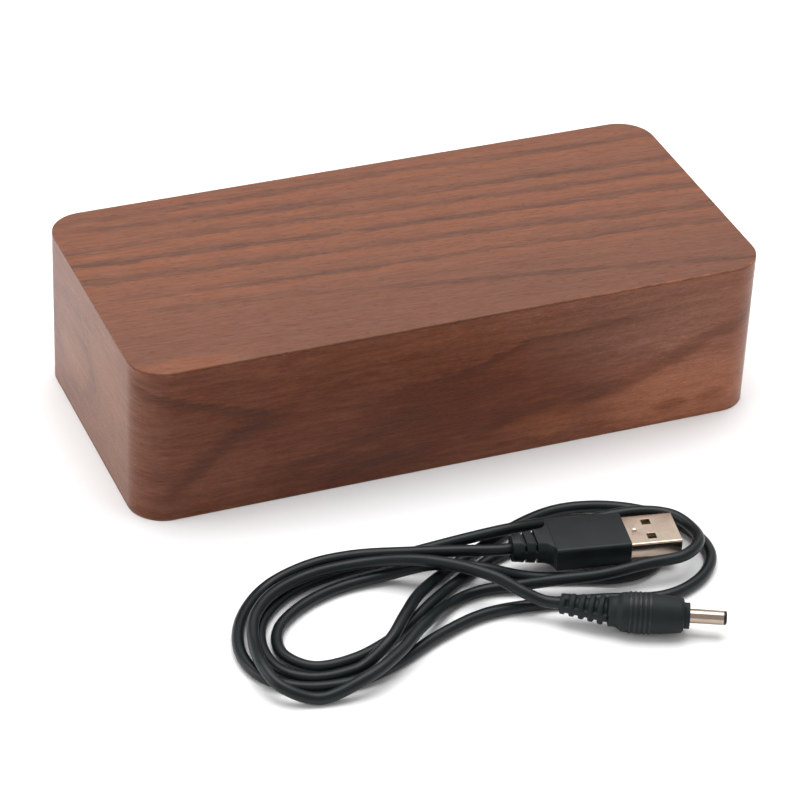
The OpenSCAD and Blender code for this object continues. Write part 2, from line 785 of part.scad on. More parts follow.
module rear_panel() {
  color(black_colour)
    difference() {
      union() {
        to_rear(0, panel_in_y, 0)
          linear_extrude(panel_t)
            round_rect(panel_l, panel_h, panel_r);
        for (x = [-1, 1], z = [-1, 1])
          to_rear(x * post_x, board_rear_y, z * post_z)
            cylinder(d = post_d, h = standoff + panel_t / 2);
        to_rear(cell_x, tub_out_y, 0)
          cylinder(d = tub_d, h = panel_in_y - tub_out_y + panel_t / 4);
      }
      cell_cuts();
      for (x = [-1, 1], z = [-1, 1])
        to_rear(x * post_x, board_front_y, z * post_z)
          cylinder(d = board_shank_d + 2 * thread_gap, h = board_shank_l + loose_gap);
      for (x = [-1, 1], z = [-1, 1]) {
        to_rear(x * screw_x, panel_in_y - panel_t, z * screw_z)
          cylinder(d = panel_clear_d, h = 3 * panel_t);
        to_rear(x * screw_x, panel_out_y - panel_head_t, z * screw_z)
          cylinder(d = panel_head_seat_d, h = panel_t);
      }
      for (x = button_xs)
        to_rear(x, panel_in_y - panel_t, 0)
          cylinder(d = button_hole_d, h = 3 * panel_t);
      to_rear(slider_x, panel_in_y - panel_t, 0)
        linear_extrude(3 * panel_t)
          square([lever_l + slider_travel + 2 * move_gap, lever_w + 2 * move_gap], center = true);
      to_rear(socket_x, panel_in_y - panel_t, 0)
        cylinder(d = socket_nose_d + 2 * move_gap, h = 3 * panel_t);
      to_rear(buzzer_x, panel_in_y - panel_t, 0) {
        cylinder(d = sound_hole_d, h = 3 * panel_t);
        for (a = [0 : 60 : 300])
          rotate(a)
            translate([sound_ring_r, 0, 0])
              cylinder(d = sound_hole_d, h = 3 * panel_t);
      }
      to_rear(mic_x, panel_in_y - panel_t, mic_z)
        cylinder(d = sound_hole_d, h = 3 * panel_t);
      for (i = [0 : vent_count - 1])
        to_rear(bead_x, panel_in_y - panel_t, bead_z + (i - (vent_count - 1) / 2) * (vent_w + vent_gap))
          linear_extrude(3 * panel_t)
            square([vent_l, vent_w], center = true);
    }
}

module push_button(x) {
  color(black_colour) {
    to_rear(x, flange_low_y, 0)
      cylinder(d = button_d, h = button_face_y - button_bevel - flange_low_y);
    to_rear(x, button_face_y - button_bevel, 0)
      cylinder(d1 = button_d, d2 = button_d - 2 * button_bevel, h = button_bevel);
    to_rear(x, flange_low_y, 0)
      cylinder(d = button_d + 2 * flange_w, h = flange_t);
    to_rear(x, stem_tip_y, 0)
      cylinder(d = stem_d, h = flange_top_y - stem_tip_y);
  }
}

module set_button() {
  push_button(button_xs[2]);
}

module up_button() {
  push_button(button_xs[1]);
}

module down_button() {
  push_button(button_xs[0]);
}

module sound_slider() {
  color(grey_colour)
    translate([slider_x - slider_travel / 2, 0, mid_z])
      difference() {
        union() {
          translate([-lever_foot_l / 2, lever_foot_y, -lever_foot_w / 2])
            cube([lever_foot_l, lever_foot_t, lever_foot_w]);
          translate([-lever_l / 2, lever_foot_y, -lever_w / 2])
            cube([lever_l, lever_top_y - lever_foot_y, lever_w]);
        }
        for (i = [-1, 0, 1])
          translate([i * 2 * lever_groove_w - lever_groove_w / 2, lever_top_y - lever_groove_w, -lever_w])
            cube([lever_groove_w, lever_groove_w * 2, lever_w * 2]);
      }
}

module slide_switch() {
  color(metal_colour)
    to_rear(slider_x, board_rear_y, 0)
      difference() {
        linear_extrude(can_h)
          square([can_l, can_w], center = true);
        translate([0, 0, can_wall])
          linear_extrude(can_in_h)
            square([
              lever_foot_l + slider_travel + 2 * move_gap,
              lever_foot_w + 2 * move_gap
            ], center = true);
        translate([0, 0, can_wall])
          linear_extrude(can_h)
            square([
              lever_l + slider_travel + 2 * move_gap,
              lever_w + 2 * move_gap
            ], center = true);
      }
}

module battery_cap() {
  color(black_colour)
    difference() {
      union() {
        to_rear(cell_x, cap_low_y, 0)
          cylinder(d = cap_d, h = cap_disc_t);
        to_rear(cell_x, tab_low_y, 0)
          difference() {
            union() {
              cylinder(d = skirt_d, h = cap_low_y - tab_low_y + cap_disc_t / 2);
              intersection() {
                cylinder(d = skirt_d + 2 * tab_reach, h = tab_t);
                translate([-cap_d, -tab_w / 2, 0])
                  cube([2 * cap_d, tab_w, tab_t]);
              }
            }
            translate([0, 0, -tab_t])
              cylinder(d = skirt_d - 2 * skirt_wall, h = cap_low_y - tab_low_y + tab_t);
          }
      }
      to_rear(cell_x, panel_out_y - coin_deep, 0)
        linear_extrude(cap_disc_t)
          square([coin_l, coin_w], center = true);
    }
}

module backup_cell() {
  color(metal_colour)
    to_rear(cell_x, cell_low_y, 0)
      cylinder(d = cell_d, h = cell_t);
}

module cell_contacts() {
  color(brass_colour) {
    to_rear(cell_x, tub_in_y, 0)
      cylinder(d = leaf_d, h = leaf_t);
    to_rear(cell_x, board_rear_y, 0)
      cylinder(d = leg_d, h = tub_in_y - board_rear_y + leaf_t / 2);
    translate([cell_x - side_leaf_w / 2, board_rear_y, mid_z + cell_d / 2 + sleeve_gap])
      cube([side_leaf_w, cell_top_y - loose_gap - board_rear_y, leaf_t]);
  }
}

module main_board() {
  color(board_colour)
    to_rear(0, board_front_y, 0)
      linear_extrude(board_t)
        difference() {
          square([main_board_l, main_board_h], center = true);
          for (x = [-1, 1], y = [-1, 1])
            translate([x * post_x, y * post_z])
              circle(d = board_shank_d + 2 * thread_gap);
        }
}

module tact_switches() {
  color(grey_colour)
    for (x = button_xs)
      to_rear(x, board_rear_y, 0)
        difference() {
          linear_extrude(switch_h)
            square([switch_side, switch_side], center = true);
          translate([0, 0, switch_h - well_deep])
            cylinder(d = well_d, h = switch_h);
        }
}

module dc_socket() {
  color(black_colour)
    difference() {
      union() {
        to_rear(socket_x, board_rear_y, 0)
          linear_extrude(socket_body_y - board_rear_y)
            square([socket_w, socket_h], center = true);
        to_rear(socket_x, board_rear_y, 0)
          cylinder(d = socket_nose_d, h = socket_out_y - board_rear_y);
      }
      to_rear(socket_x, socket_out_y - socket_deep, 0)
        cylinder(d = socket_hole_d, h = 2 * socket_deep);
    }
}

module dc_socket_pin() {
  color(metal_colour)
    to_rear(socket_x, socket_out_y - socket_deep, 0)
      cylinder(d = socket_pin_d, h = socket_pin_l);
}

// Turns a shape drawn upright so that it stands on the main board's front side
module on_board_front(x, z) {
  translate([x, board_front_y, mid_z + z])
    rotate([90, 0, 0])
      children();
}

module clock_chip() {
  color(grey_colour)
    on_board_front(chip_x, 0)
      chip(chip_l, chip_w);
}

module clock_crystal() {
  color(metal_colour)
    translate([crystal_x, board_front_y - crystal_d / 2 - sleeve_gap, mid_z + crystal_z])
      rotate([0, 90, 0])
        cylinder(d = crystal_d, h = crystal_l);
}

module capacitor() {
  color(grey_colour)
    to_rear(capacitor_x, board_rear_y, capacitor_z)
      cylinder(d = capacitor_d, h = capacitor_h);
}

module buzzer() {
  color(black_colour)
    to_rear(buzzer_x, board_rear_y, 0)
      difference() {
        cylinder(d = buzzer_d, h = buzzer_h);
        translate([0, 0, buzzer_h / 2])
          cylinder(d = buzzer_hole_d, h = buzzer_h);
      }
}

module microphone() {
  color(metal_colour)
    to_rear(mic_x, board_rear_y, mic_z)
      cylinder(d = mic_d, h = mic_h);
}

module temperature_sensor() {
  color(black_colour)
    to_rear(bead_x, board_rear_y, bead_z) {
      translate([0, 0, bead_h])
        sphere(d = bead_d);
      for (x = [-1, 1])
        translate([x * lead_spacing / 2, 0, 0])
          cylinder(d = lead_d, h = bead_h);
    }
}

function ribbon_way(k) =
  let (t = k / ribbon_steps)
  [ribbon_y0 + (ribbon_y1 - ribbon_y0) * t, ribbon_sway * sin(360 * t) * sin(180 * t)];

module ribbon_cable() {
  color(grey_colour)
    translate([ribbon_x - ribbon_w / 2, 0, mid_z])
      rotate([90, 0, 90])
        linear_extrude(ribbon_w)
          polygon(concat(
            [for (k = [0 : ribbon_steps]) ribbon_way(k) + [0, ribbon_t / 2]],
            [for (k = [ribbon_steps : -1 : 0]) ribbon_way(k) - [0, ribbon_t / 2]]
          ));
}

module ribbon_plugs() {
  color(white_colour) {
    to_rear(ribbon_x, display_rear_y, 0)
      linear_extrude(ribbon_plug_h)
        square([ribbon_plug_l, ribbon_plug_t], center = true);
    on_board_front(ribbon_x, 0)
      linear_extrude(ribbon_plug_h)
        square([ribbon_plug_l, ribbon_plug_t], center = true);
  }
}

module power_cord() {
  points = [for (i = [0 : rings - 1]) each ring(i)];
  sides = [
    for (i = [0 : rings - 2], k = [0 : cord_sides - 1])
      let (
        a = i * cord_sides + k,
        b = i * cord_sides + (k + 1) % cord_sides,
        c = b + cord_sides,
        d = a + cord_sides
      )
      each [[a, b, c], [a, c, d]]
  ];
  first_cap = [for (k = [cord_sides - 1 : -1 : 0]) k];
  last_cap = [for (k = [0 : cord_sides - 1]) (rings - 1) * cord_sides + k];
  color(black_colour)
    polyhedron(points = points, faces = concat(sides, [first_cap, last_cap]));
}

module usb_place() {
  translate(route[0])
    rotate(usb_turn)
      children();
}

// Slab under a sloping outline, centred across and along its thickness
module wedge(w0, w1, l) {
  polygon([[0, -w0 / 2], [l, -w1 / 2], [l, w1 / 2], [0, w0 / 2]]);
}

// Half widths of the bend relief along its length, opening in a hollow curve to the body
relief_edge = concat(
  [[0, usb_relief_w0 / 2]],
  [
    for (a = [0 : 15 : 90])
      [usb_taper_l + usb_flare_r * sin(a), usb_relief_w1 / 2 + usb_flare_r * (1 - cos(a))]
  ]
);

module usb_relief() {
  difference() {
    intersection() {
      translate([0, 0, -usb_relief_t1])
        linear_extrude(2 * usb_relief_t1)
          polygon(concat(
            [for (p = relief_edge) [p.x, -p.y]],
            [for (i = [len(relief_edge) - 1 : -1 : 0]) relief_edge[i]]
          ));
      translate([0, usb_body_w, 0])
        rotate([90, 0, 0])
          linear_extrude(2 * usb_body_w)
            wedge(usb_relief_t0, usb_relief_t1, usb_relief_l);
      rotate([0, 90, 0])
        rotate_extrude()
          polygon(concat(
            [[0, 0]],
            [for (p = relief_edge) [p.y + usb_round, p.x]],
            [[0, usb_relief_l]]
          ));
    }
    for (x = groove_xs)
      translate([x, 0, 0])
        difference() {
          translate([0, -usb_relief_w1, -usb_relief_w1])
            cube([usb_groove_w, 2 * usb_relief_w1, 2 * usb_relief_w1]);
          translate([-usb_groove_w, -2 * usb_relief_w1, -usb_web_t / 2])
            cube([3 * usb_groove_w, 4 * usb_relief_w1, usb_web_t]);
          along_x(-usb_groove_w)
            linear_extrude(3 * usb_groove_w)
              round_rect(
                usb_relief_w0 - 2 * usb_groove_deep,
                usb_relief_t0 - 2 * usb_groove_deep,
                usb_groove_w
              );
        }
  }
}

module usb_overmould() {
  color(black_colour)
    usb_place() {
      usb_relief();
      along_x(usb_relief_l)
        linear_extrude(usb_body_l)
          round_rect(usb_body_w, usb_body_t, usb_body_r);
    }
}

module usb_shell() {
  color(metal_colour)
    usb_place()
      difference() {
        along_x(usb_shell_x)
          linear_extrude(shell_l)
            difference() {
              round_rect(shell_w, shell_t, shell_r);
              square([shell_w - 2 * shell_wall, shell_t - 2 * shell_wall], center = true);
            }
        for (y = [-1, 1])
          translate([latch_x, y * latch_pitch / 2, 0])
            cube([latch_side, latch_side, 2 * shell_t], center = true);
        translate([usb_shell_x + dimple_reach, 0, shell_t / 2 + dimple_r - dimple_deep])
          sphere(dimple_r);
      }
}

module usb_tongue() {
  color(black_colour)
    usb_place()
      translate([
        usb_shell_x,
        -shell_w / 2 + shell_wall + sleeve_gap,
        tongue_top - tongue_t
      ])
        cube([tongue_l, shell_w - 2 * shell_wall - 2 * sleeve_gap, tongue_t]);
}

module usb_contacts() {
  color(brass_colour)
    usb_place()
      for (i = [-1.5, -0.5, 0.5, 1.5])
        translate([
          usb_shell_x + tongue_l - strip_l,
          i * strip_spacing - strip_w / 2,
          tongue_top
        ])
          cube([strip_l, strip_w, strip_t]);
}

module dc_place() {
  translate(route[last])
    rotate(dc_turn)
      children();
}

// The body's own frame, turned against the bent relief
module dc_body_place() {
  dc_place()
    translate([dc_relief_l, 0, 0])
      rotate(dc_bend)
        children();
}

// Diameter of the moulded body along its length, fullest at its belly
function body_d(x) =
  x < dc_belly
    ? dc_body_d - (dc_body_d - dc_back_d) * pow((dc_belly - x) / (dc_belly - dc_flare), 2)
    : dc_body_d - (dc_body_d - dc_front_d) * pow((x - dc_belly) / (dc_body_l - dc_belly), 2);
line_outline = [
  for (i = [0 : line_count - 1])
    let (x = line_start + i * line_pitch)
    each [
      [body_d(x) / 2, x],
      [body_d(x) / 2 + dc_line_h, x],
      [body_d(x + line_w) / 2 + dc_line_h, x + line_w],
      [body_d(x + line_w) / 2, x + line_w]
    ]
];

function rib_r(x) = (dc_rib_d0 + (dc_rib_d1 - dc_rib_d0) * x / dc_relief_l) / 2;

// One rib of the bend relief, its rim eased, starting at x
module dc_rib(x) {
  r = rib_r(x + rib_w / 2);
  along_x(x)
    rotate_extrude()
      polygon([
        [0, 0], [r - rib_edge, 0], [r, rib_edge],
        [r, rib_w - rib_edge], [r - rib_edge, rib_w], [0, rib_w]
      ]);
}

// Ribs, side webs and bridges, all trimmed to one cone
module dc_relief() {
  intersection() {
    rotate([0, 90, 0])
      cylinder(d1 = dc_rib_d0, d2 = dc_rib_d1, h = dc_relief_l + tiny);
    union() {
      rotate([0, 90, 0])
        cylinder(d1 = dc_core_d0, d2 = dc_core_d1, h = dc_relief_l + tiny);
      for (i = [0 : rib_count - 1])
        dc_rib(i * rib_pitch);
      translate([0, -dc_rib_d1, -dc_web_t / 2])
        cube([dc_relief_l + tiny, 2 * dc_rib_d1, dc_web_t]);
      for (i = bridged_gaps)
        translate([i * rib_pitch + tiny, -bridge_w / 2, 0])
          cube([rib_pitch, bridge_w, dc_rib_d1]);
    }
  }
}

// Places on the flare between the collar and the body, and on the body in front of its lines
function flare_r(share) = dc_rib_d1 / 2 + (dc_back_d - dc_rib_d1) / 2 * share;
function flare_x(share) = dc_collar_l + (dc_flare - dc_collar_l) * share;
line_end = line_start + line_count * line_pitch;
function belly_x(i) = line_end + (dc_nose_x - dc_edge - line_end) * i / belly_steps;

module dc_overmould() {
  color(black_colour) {
    dc_place()
      dc_relief();
    dc_body_place()
      rotate([0, 90, 0])
        rotate_extrude()
          polygon(concat(
            [
              [0, -dc_edge], [dc_core_d1 / 2, -dc_edge], [dc_rib_d1 / 2, 0],
              [dc_rib_d1 / 2, dc_collar_l],
              [flare_r(0.12), flare_x(0.3)], [flare_r(0.85), flare_x(0.75)], [dc_back_d / 2, dc_flare]
            ],
            line_outline,
            [for (i = [1 : belly_steps]) [body_d(belly_x(i)) / 2, belly_x(i)]],
            [
              [dc_front_d / 2 - dc_edge, dc_nose_x], [dc_nose_d / 2, dc_nose_x],
              [dc_nose_d / 2, barrel_x], [0, barrel_x]
            ]
          ));
  }
}

// Plain tube standing on z = 0
module tube(outer_d, inner_d, h) {
  linear_extrude(h)
    difference() {
      circle(d = outer_d);
      circle(d = inner_d);
    }
}

module dc_barrel() {
  color(metal_colour)
    dc_body_place()
      along_x(barrel_x)
        tube(barrel_d, barrel_in_d, barrel_l - tip_l);
}

module dc_insulator() {
  color(black_colour)
    dc_body_place()
      along_x(barrel_x)
        rotate_extrude()
          polygon([
            [liner_in_d / 2, 0], [liner_d / 2, 0], [liner_d / 2, barrel_l - tip_l],
            [tip_d / 2, barrel_l - tip_l], [tip_d / 2, barrel_l - tip_edge],
            [tip_d / 2 - tip_edge, barrel_l], [liner_in_d / 2, barrel_l]
          ]);
}

module dc_contact() {
  color(brass_colour)
    dc_body_place()
      along_x(barrel_x)
        tube(sleeve_d, pin_hole_d, barrel_l - sleeve_wall);
}

case_core();
top_veneer();
side_veneer();
bottom_veneer();
diffuser_film();
digit_reflector();
display_leds();
display_board();
display_driver();
display_screws();
rear_panel();
panel_screws();
set_button();
up_button();
down_button();
sound_slider();
battery_cap();
backup_cell();
cell_contacts();
main_board();
board_screws();
tact_switches();
slide_switch();
dc_socket();
dc_socket_pin();
clock_chip();
clock_crystal();
capacitor();
buzzer();
microphone();
temperature_sensor();
ribbon_cable();
ribbon_plugs();
power_cord();
usb_overmould();
usb_shell();
usb_tongue();
usb_contacts();
dc_overmould();
dc_barrel();
dc_insulator();
dc_contact();
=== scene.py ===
import math

import bmesh
import bpy
from bpy.props import FloatProperty, FloatVectorProperty, PointerProperty
from bpy.types import NodeSocket, Operator, Panel, PropertyGroup
from mathutils import Matrix, Vector


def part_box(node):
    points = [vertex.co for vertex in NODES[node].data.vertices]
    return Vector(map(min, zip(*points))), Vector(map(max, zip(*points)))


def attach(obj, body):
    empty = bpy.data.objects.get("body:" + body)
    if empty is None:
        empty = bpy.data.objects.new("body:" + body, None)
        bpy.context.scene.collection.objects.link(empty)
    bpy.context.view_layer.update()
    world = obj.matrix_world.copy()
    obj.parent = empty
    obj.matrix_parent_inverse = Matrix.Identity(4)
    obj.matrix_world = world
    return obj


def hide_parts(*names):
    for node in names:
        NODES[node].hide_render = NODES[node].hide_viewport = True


bl_info = {
    "name": "Wooden block alarm clock",
    "version": (1, 0, 0),
    "blender": (4, 5, 0),
    "location": "View3D > Sidebar > Clock",
    "description": "Dresses a walnut block clock and its loose power cord",
    "category": "Object",
}

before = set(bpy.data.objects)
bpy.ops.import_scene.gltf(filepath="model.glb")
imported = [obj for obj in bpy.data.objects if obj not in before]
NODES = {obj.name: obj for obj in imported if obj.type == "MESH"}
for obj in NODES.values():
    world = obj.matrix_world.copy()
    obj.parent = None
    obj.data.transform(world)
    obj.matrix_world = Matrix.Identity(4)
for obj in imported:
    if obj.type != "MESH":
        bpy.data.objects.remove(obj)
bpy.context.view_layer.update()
MM = 0.001

# The block, read from its own veneers, and the radius of its upright corners.
CASE_LOW, CASE_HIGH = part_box("side_veneer")
CASE_L = CASE_HIGH.x - CASE_LOW.x
CASE_W = CASE_HIGH.y - CASE_LOW.y
CASE_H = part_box("top_veneer")[1].z
CORNER_R = 9.4 * MM
# Half the straight length of its long and its short sides, the arc of one corner, and the way all round it.
HALF_L = CASE_L / 2 - CORNER_R
HALF_W = CASE_W / 2 - CORNER_R
CORNER_ARC = CORNER_R * math.pi / 2
WAY_ROUND = 4 * (HALF_L + HALF_W + CORNER_ARC)

# Faces that turn by more than this, in degrees, meet in an edge. The rim of the shell's dimple is flatter.
EDGE_TURN = 35.0
SHELL_TURN = 18.0
# Faces that turn by less than this are made one.
FLAT_TURN = 0.4
# Points nearer than this are made one. The fine slots of the rear panel need more.
WELD = 0.001 * MM
PANEL_WELD = 0.03 * MM

# The camera: lens and width of its picture in pixels, where its right and its back point, and its place.
LENS_PIXELS = 3404.8
PICTURE_WIDTH = 800
SENSOR_WIDTH = 36.0
CAMERA_RIGHT = (0.928, -0.3705, 0.0386)
CAMERA_BACK = (-0.3272, -0.7614, 0.5596)
CAMERA_SPOT = (-0.29896, -0.69733, 0.50671)

# Soft lights: name, place, aim, width, height and power.
SOFTBOXES = (
    ("overhead_softbox", (0.1, 0.25, 1.5), (0, 0, 0), 1.6, 1.2, 26.0),
    ("left_softbox", (-1.4, 0.3, 0.55), (-0.05, 0, 0.03), 1.2, 1.0, 9.7),
    ("rear_softbox", (0.85, 1.95, 1.35), (0, 0, 0), 2.6, 1.6, 8.0),
)
SKY_STRENGTH = 0.55

# Sockets of a mix node that mixes colours.
MIX_SHARE, MIX_FIRST, MIX_SECOND, MIX_RESULT = 0, 6, 7, 2

# How far the drawn lines of the grain can run and rise to either side of zero, in millimetres.
LINE_REACH = 92.0
LINE_RISE = 45.0
# Where the light edge below a line fades in and out, measured from the line.
LINE_GLOW = (-5.5, -1.8, -1.2, 0.0)

# Top sheet: how much its grain leans, and its main tone from the front to the back.
TOP_LEAN = 0.072
TOP_TONES = ((0.0, 0.40), (0.2, 0.42), (0.4, 0.56), (0.6, 0.60), (1.0, 0.60))
# Its dark lines: points (along, across), width of the near and far side, span, depth, light edge.
TOP_LINES = (
    (((-92, 14), (-78, 13), (-28, 9.5), (12, 6.5), (35, 5.2), (78, 2.5), (92, 1.5)),
     1.1, 4.0, (-99, -95, 95, 99), 0.42, 0.20),
    (((-92, 5.5), (-78, 4.5), (-28, 1), (12, -1), (42, -4), (60, -6.5), (78, -8), (92, -9.2)),
     1.4, 4.5, (-99, -95, 95, 99), 0.36, 0.10),
    (((-92, -4.8), (-78, -5.5), (-33, -8.5), (-2, -10), (32, -12), (52, -13.5), (78, -16), (92, -17.4)),
     1.3, 3.2, (-99, -60, 95, 99), 0.32, 0.16),
    (((-92, -11.5), (-78, -12), (-53, -13.5), (-33, -16.5), (-8, -20.5), (12, -24), (42, -28.5), (78, -35),
      (92, -38)), 1.4, 2.6, (-110, 20, 95, 99), 0.30, 0.0),
    (((-92, 20.6), (-78, 20), (-48, 19.5), (-18, 17.5), (12, 15), (42, 13), (78, 11), (92, 10)),
     1.6, 3.4, (-99, -90, 95, 99), 0.34, 0.16),
    (((-92, 31), (-63, 29), (-28, 25.5), (-8, 23.5), (17, 21.5), (42, 20), (78, 18.5), (92, 18)),
     2.6, 3.8, (-99, -70, 95, 99), 0.38, 0.16),
    (((-92, 35), (-78, 34.5), (-32, 33), (12, 34), (32, 32.5), (78, 30.5), (92, 30)),
     2.2, 3.4, (-99, -90, 95, 99), 0.34, 0.18),
)

# Side band: half the way round the block, rounded up, in millimetres.
BAND_REACH = 250.0
# Its main tone, from the middle of the back past the left end, the front and the right end.
SIDE_TONES = (
    (-250, 0.44), (-100, 0.43), (-85, 0.33), (-40, 0.32), (0, 0.375), (30, 0.475), (60, 0.57), (90, 0.60),
    (140, 0.52), (250, 0.44),
)
# Its broad light and dark areas: middle (along, up), reach and how much they add.
SIDE_AREAS = (
    ((8, 19), (44, 16), -0.15), ((-56, 24), (14, 7), -0.05), ((-64, 10), (14, 9), 0.04),
    ((66, 8), (30, 14), 0.16), ((62, 30), (24, 10), 0.06), ((23, 7), (14, 6), 0.10),
    ((-26, 5), (30, 8), -0.09), ((-10, 42), (70, 8), 0.06), ((61, 5.8), (7, 3), -0.20),
    ((73, 6), (6, 3.5), -0.14), ((-106, 30), (18, 14), 0.06),
)
# The dark lines of its front: points (along, up), width of the lower and upper side, span and depth.
SIDE_LINES = (
    (((-92, 40), (-78, 36), (-66, 32), (-56, 28.5), (-48, 26)), 3.4, 1.5, (-93, -80, -60, -48), 0.20),
    (((-84, 4), (-78, 8.5), (-70, 14.5), (-64, 20), (-58, 23.5), (-50, 25.5), (-38, 26.5)),
     5.0, 4.4, (-84, -72, -58, -36), 0.15),
    (((-84, 3), (-78, 8), (-68, 14.8), (-61, 20.5), (-56, 23)), 1.8, 1.8, (-80, -72, -66, -58), 0.06),
    (((-58, 6), (-45, 9), (-34, 11.5), (-22, 14.5), (-8, 17)), 3.0, 3.4, (-58, -40, -24, -6), 0.11),
    (((-42, 1.5), (-28, 4.5), (-14, 6.5), (2, 7.4)), 1.6, 3.2, (-42, -30, -12, 2), 0.14),
    (((0, 8), (10, 10), (18, 11.5), (28, 14), (38, 17), (48, 18.4)), 2.2, 3.8, (0, 14, 30, 48), 0.11),
    (((24, 10), (37, 13), (46, 14.7), (55, 17.7), (64, 21), (70, 24.5), (78, 27), (90, 31)),
     3.0, 5.0, (26, 40, 76, 95), 0.20),
    (((-14, 25.6), (-8, 27), (5, 29), (12, 32), (18, 33.8), (32, 34.2), (42, 35.4), (55, 34.4), (68, 35)),
     3.0, 1.4, (-14, 6, 44, 66), 0.15),
    (((4, 2.6), (8, 3), (16, 3.4), (26, 2.6), (32, 2)), 1.3, 1.3, (6, 12, 22, 30), 0.13),
    (((12, 39.8), (16, 40), (30, 40.3), (46, 39.8), (52, 39.4)), 0.8, 0.8, (14, 24, 38, 48), 0.12),
)
# Orange and grey casts over parts of it: middle, reach and the tint. The last two are painted reflection on the
# left end and the near left corner.
SIDE_CASTS = (
    ((62, 8), (36, 15), (1.08, 1.0, 0.84)), ((52, 33), (38, 15), (0.88, 0.94, 0.97)),
    ((26, 12), (14, 12), (1.02, 1.0, 0.74)), ((-14, 36), (60, 12), (1.03, 1.0, 0.86)),
    ((8, 18), (38, 18), (1.08, 0.89, 0.68)), ((-40, 18), (26, 20), (1.02, 0.95, 0.90)),
    # Painted reflection: these two make the left end and the near left corner paler and cooler, where they
    # mirror the light.
    ((-116, 22), (44, 40), (1.05, 1.21, 1.10)), ((-84, 22), (9, 36), (0.98, 1.05, 1.2)),
)
# Rings of its eye: where they lie, as a share of the eye's reach, how dark they are, and how far they fade
# inwards and outwards.
EYE_RINGS = ((0.95, 1.0), (1.45, 0.7), (2.0, 0.5), (2.6, 0.4))
EYE_FADE_IN, EYE_FADE_OUT = 0.4, 0.22

# Where the cord lies, from the large plug to the small one, in millimetres.
CORD_ROUTE = (
    (-5, -87, 7), (-9, -86.3, 7), (-17, -83, 6.4), (-28, -78.5, 5.4), (-42, -75.2, 5.4),
    (-54, -74.2, 4.4), (-65.5, -76, 1.8), (-75, -85.5, 1.6), (-79.5, -97, 1.6), (-78, -107.5, 1.6),
    (-70, -115, 1.6), (-58, -116.9, 1.6), (-46, -113.8, 1.6), (-32, -107, 1.6), (-18, -102.8, 1.6),
    (-3, -103.8, 1.6), (12, -107, 1.6), (26, -110.5, 1.6), (37.5, -107, 1.6), (44.5, -99, 1.6),
    (44.5, -89, 1.6), (38.5, -78.5, 1.6), (28, -71.5, 1.6), (15.5, -69, 1.6), (3, -72, 1.6),
    (-9.5, -78, 1.6), (-21, -84, 1.6), (-31.5, -92.6, 3.7), (-39, -101.5, 5.4), (-46, -108.9, 4.8),
    (-55, -112.6, 1.7), (-66, -112.7, 1.6), (-73, -107, 1.6), (-74, -97, 1.6), (-70, -87.5, 1.6),
    (-61, -80, 1.6), (-49.5, -76.3, 1.6), (-36, -75, 1.6), (-23.5, -75, 2.6), (-11, -77, 5),
    (0, -77, 5.2), (12, -75, 2.8), (23, -76, 1.6), (31.5, -82.5, 1.6), (34, -91, 1.6),
    (29, -98.5, 1.6), (19, -100, 1.6), (8, -96.5, 1.6), (-3, -92.8, 2), (-14.5, -89.5, 5.2),
    (-25, -85, 5.5), (-36, -81.5, 2.4), (-48, -81.5, 1.6), (-59.5, -85.5, 1.6), (-68, -92.5, 1.6),
    (-70.3, -101.5, 1.6), (-65, -108.6, 1.6), (-55, -108.9, 1.6), (-45, -105.3, 1.6), (-36.5, -100, 1.6),
    (-27.5, -93.5, 1.6), (-17.5, -87.5, 1.6), (-5.5, -81.8, 1.6), (8, -79.5, 2), (20, -79.5, 4.6),
    (32, -80.5, 5.2), (40, -84.5, 5.2), (42.5, -92, 5.4), (40.8, -98.8, 6.4), (34.5, -103, 6.6),
    (25, -102.3, 6), (13, -101.8, 5.2), (2, -99.5, 4.6), (-7.5, -95.5, 2.2), (-16, -94, 1.6),
    (-25.5, -97, 1.8), (-36, -106, 5), (-45, -114, 5.4), (-55, -119.6, 4.8), (-67, -120.2, 1.6),
    (-75.5, -116.5, 4), (-78, -109, 5.6), (-76.5, -98.5, 4.6), (-73, -89.5, 4.9), (-65.5, -82.5, 5.2),
    (-54, -78.7, 5.4), (-41, -79, 5.6), (-30.5, -84.5, 8), (-22, -91, 9), (-14.5, -98.2, 8.8),
    (-9.3, -103.4, 6.8), (-5.1, -106.6, 5.2), (-1.35, -109.1, 5.2),
)
# Least height of the cord's middle line in millimetres, and steps from one point of its route to the next.
CORD_REST = 1.6
CORD_STEPS = 8

# Raised rings round the small plug: their height, and the least radius they lie at.
RING_STEP = 0.16 * MM
RING_LEAST = 4.7 * MM


def colour_prop(name, description, default):
    return FloatVectorProperty(name=name, description=description, default=default, subtype="COLOR",
                               size=3, min=0.0, max=1.0)


def length_prop(name, description, default):
    return FloatProperty(name=name, description=description, default=default, subtype="DISTANCE",
                         unit="LENGTH", min=0.0)


class ClockSizes(PropertyGroup):
    """Sizes of the finish: edges, cord and stage."""
    case_edge: length_prop("Case edge", "How far the veneer edges are eased", 0.0002)
    moulding_edge: length_prop("Moulding edge", "Rounding of the buttons, the lever and the cap", 0.0002)
    fine_edge: length_prop("Fine edge", "Rounding of mouldings with fine slots", 0.00006)
    metal_edge: length_prop("Metal edge", "Rounding of the pressed metal edges", 0.0001)
    cord_diameter: length_prop("Cord diameter", "Thickness of the cord over its jacket", 0.003)
    floor_size: length_prop("Floor size", "Side of the pale floor", 12.0)


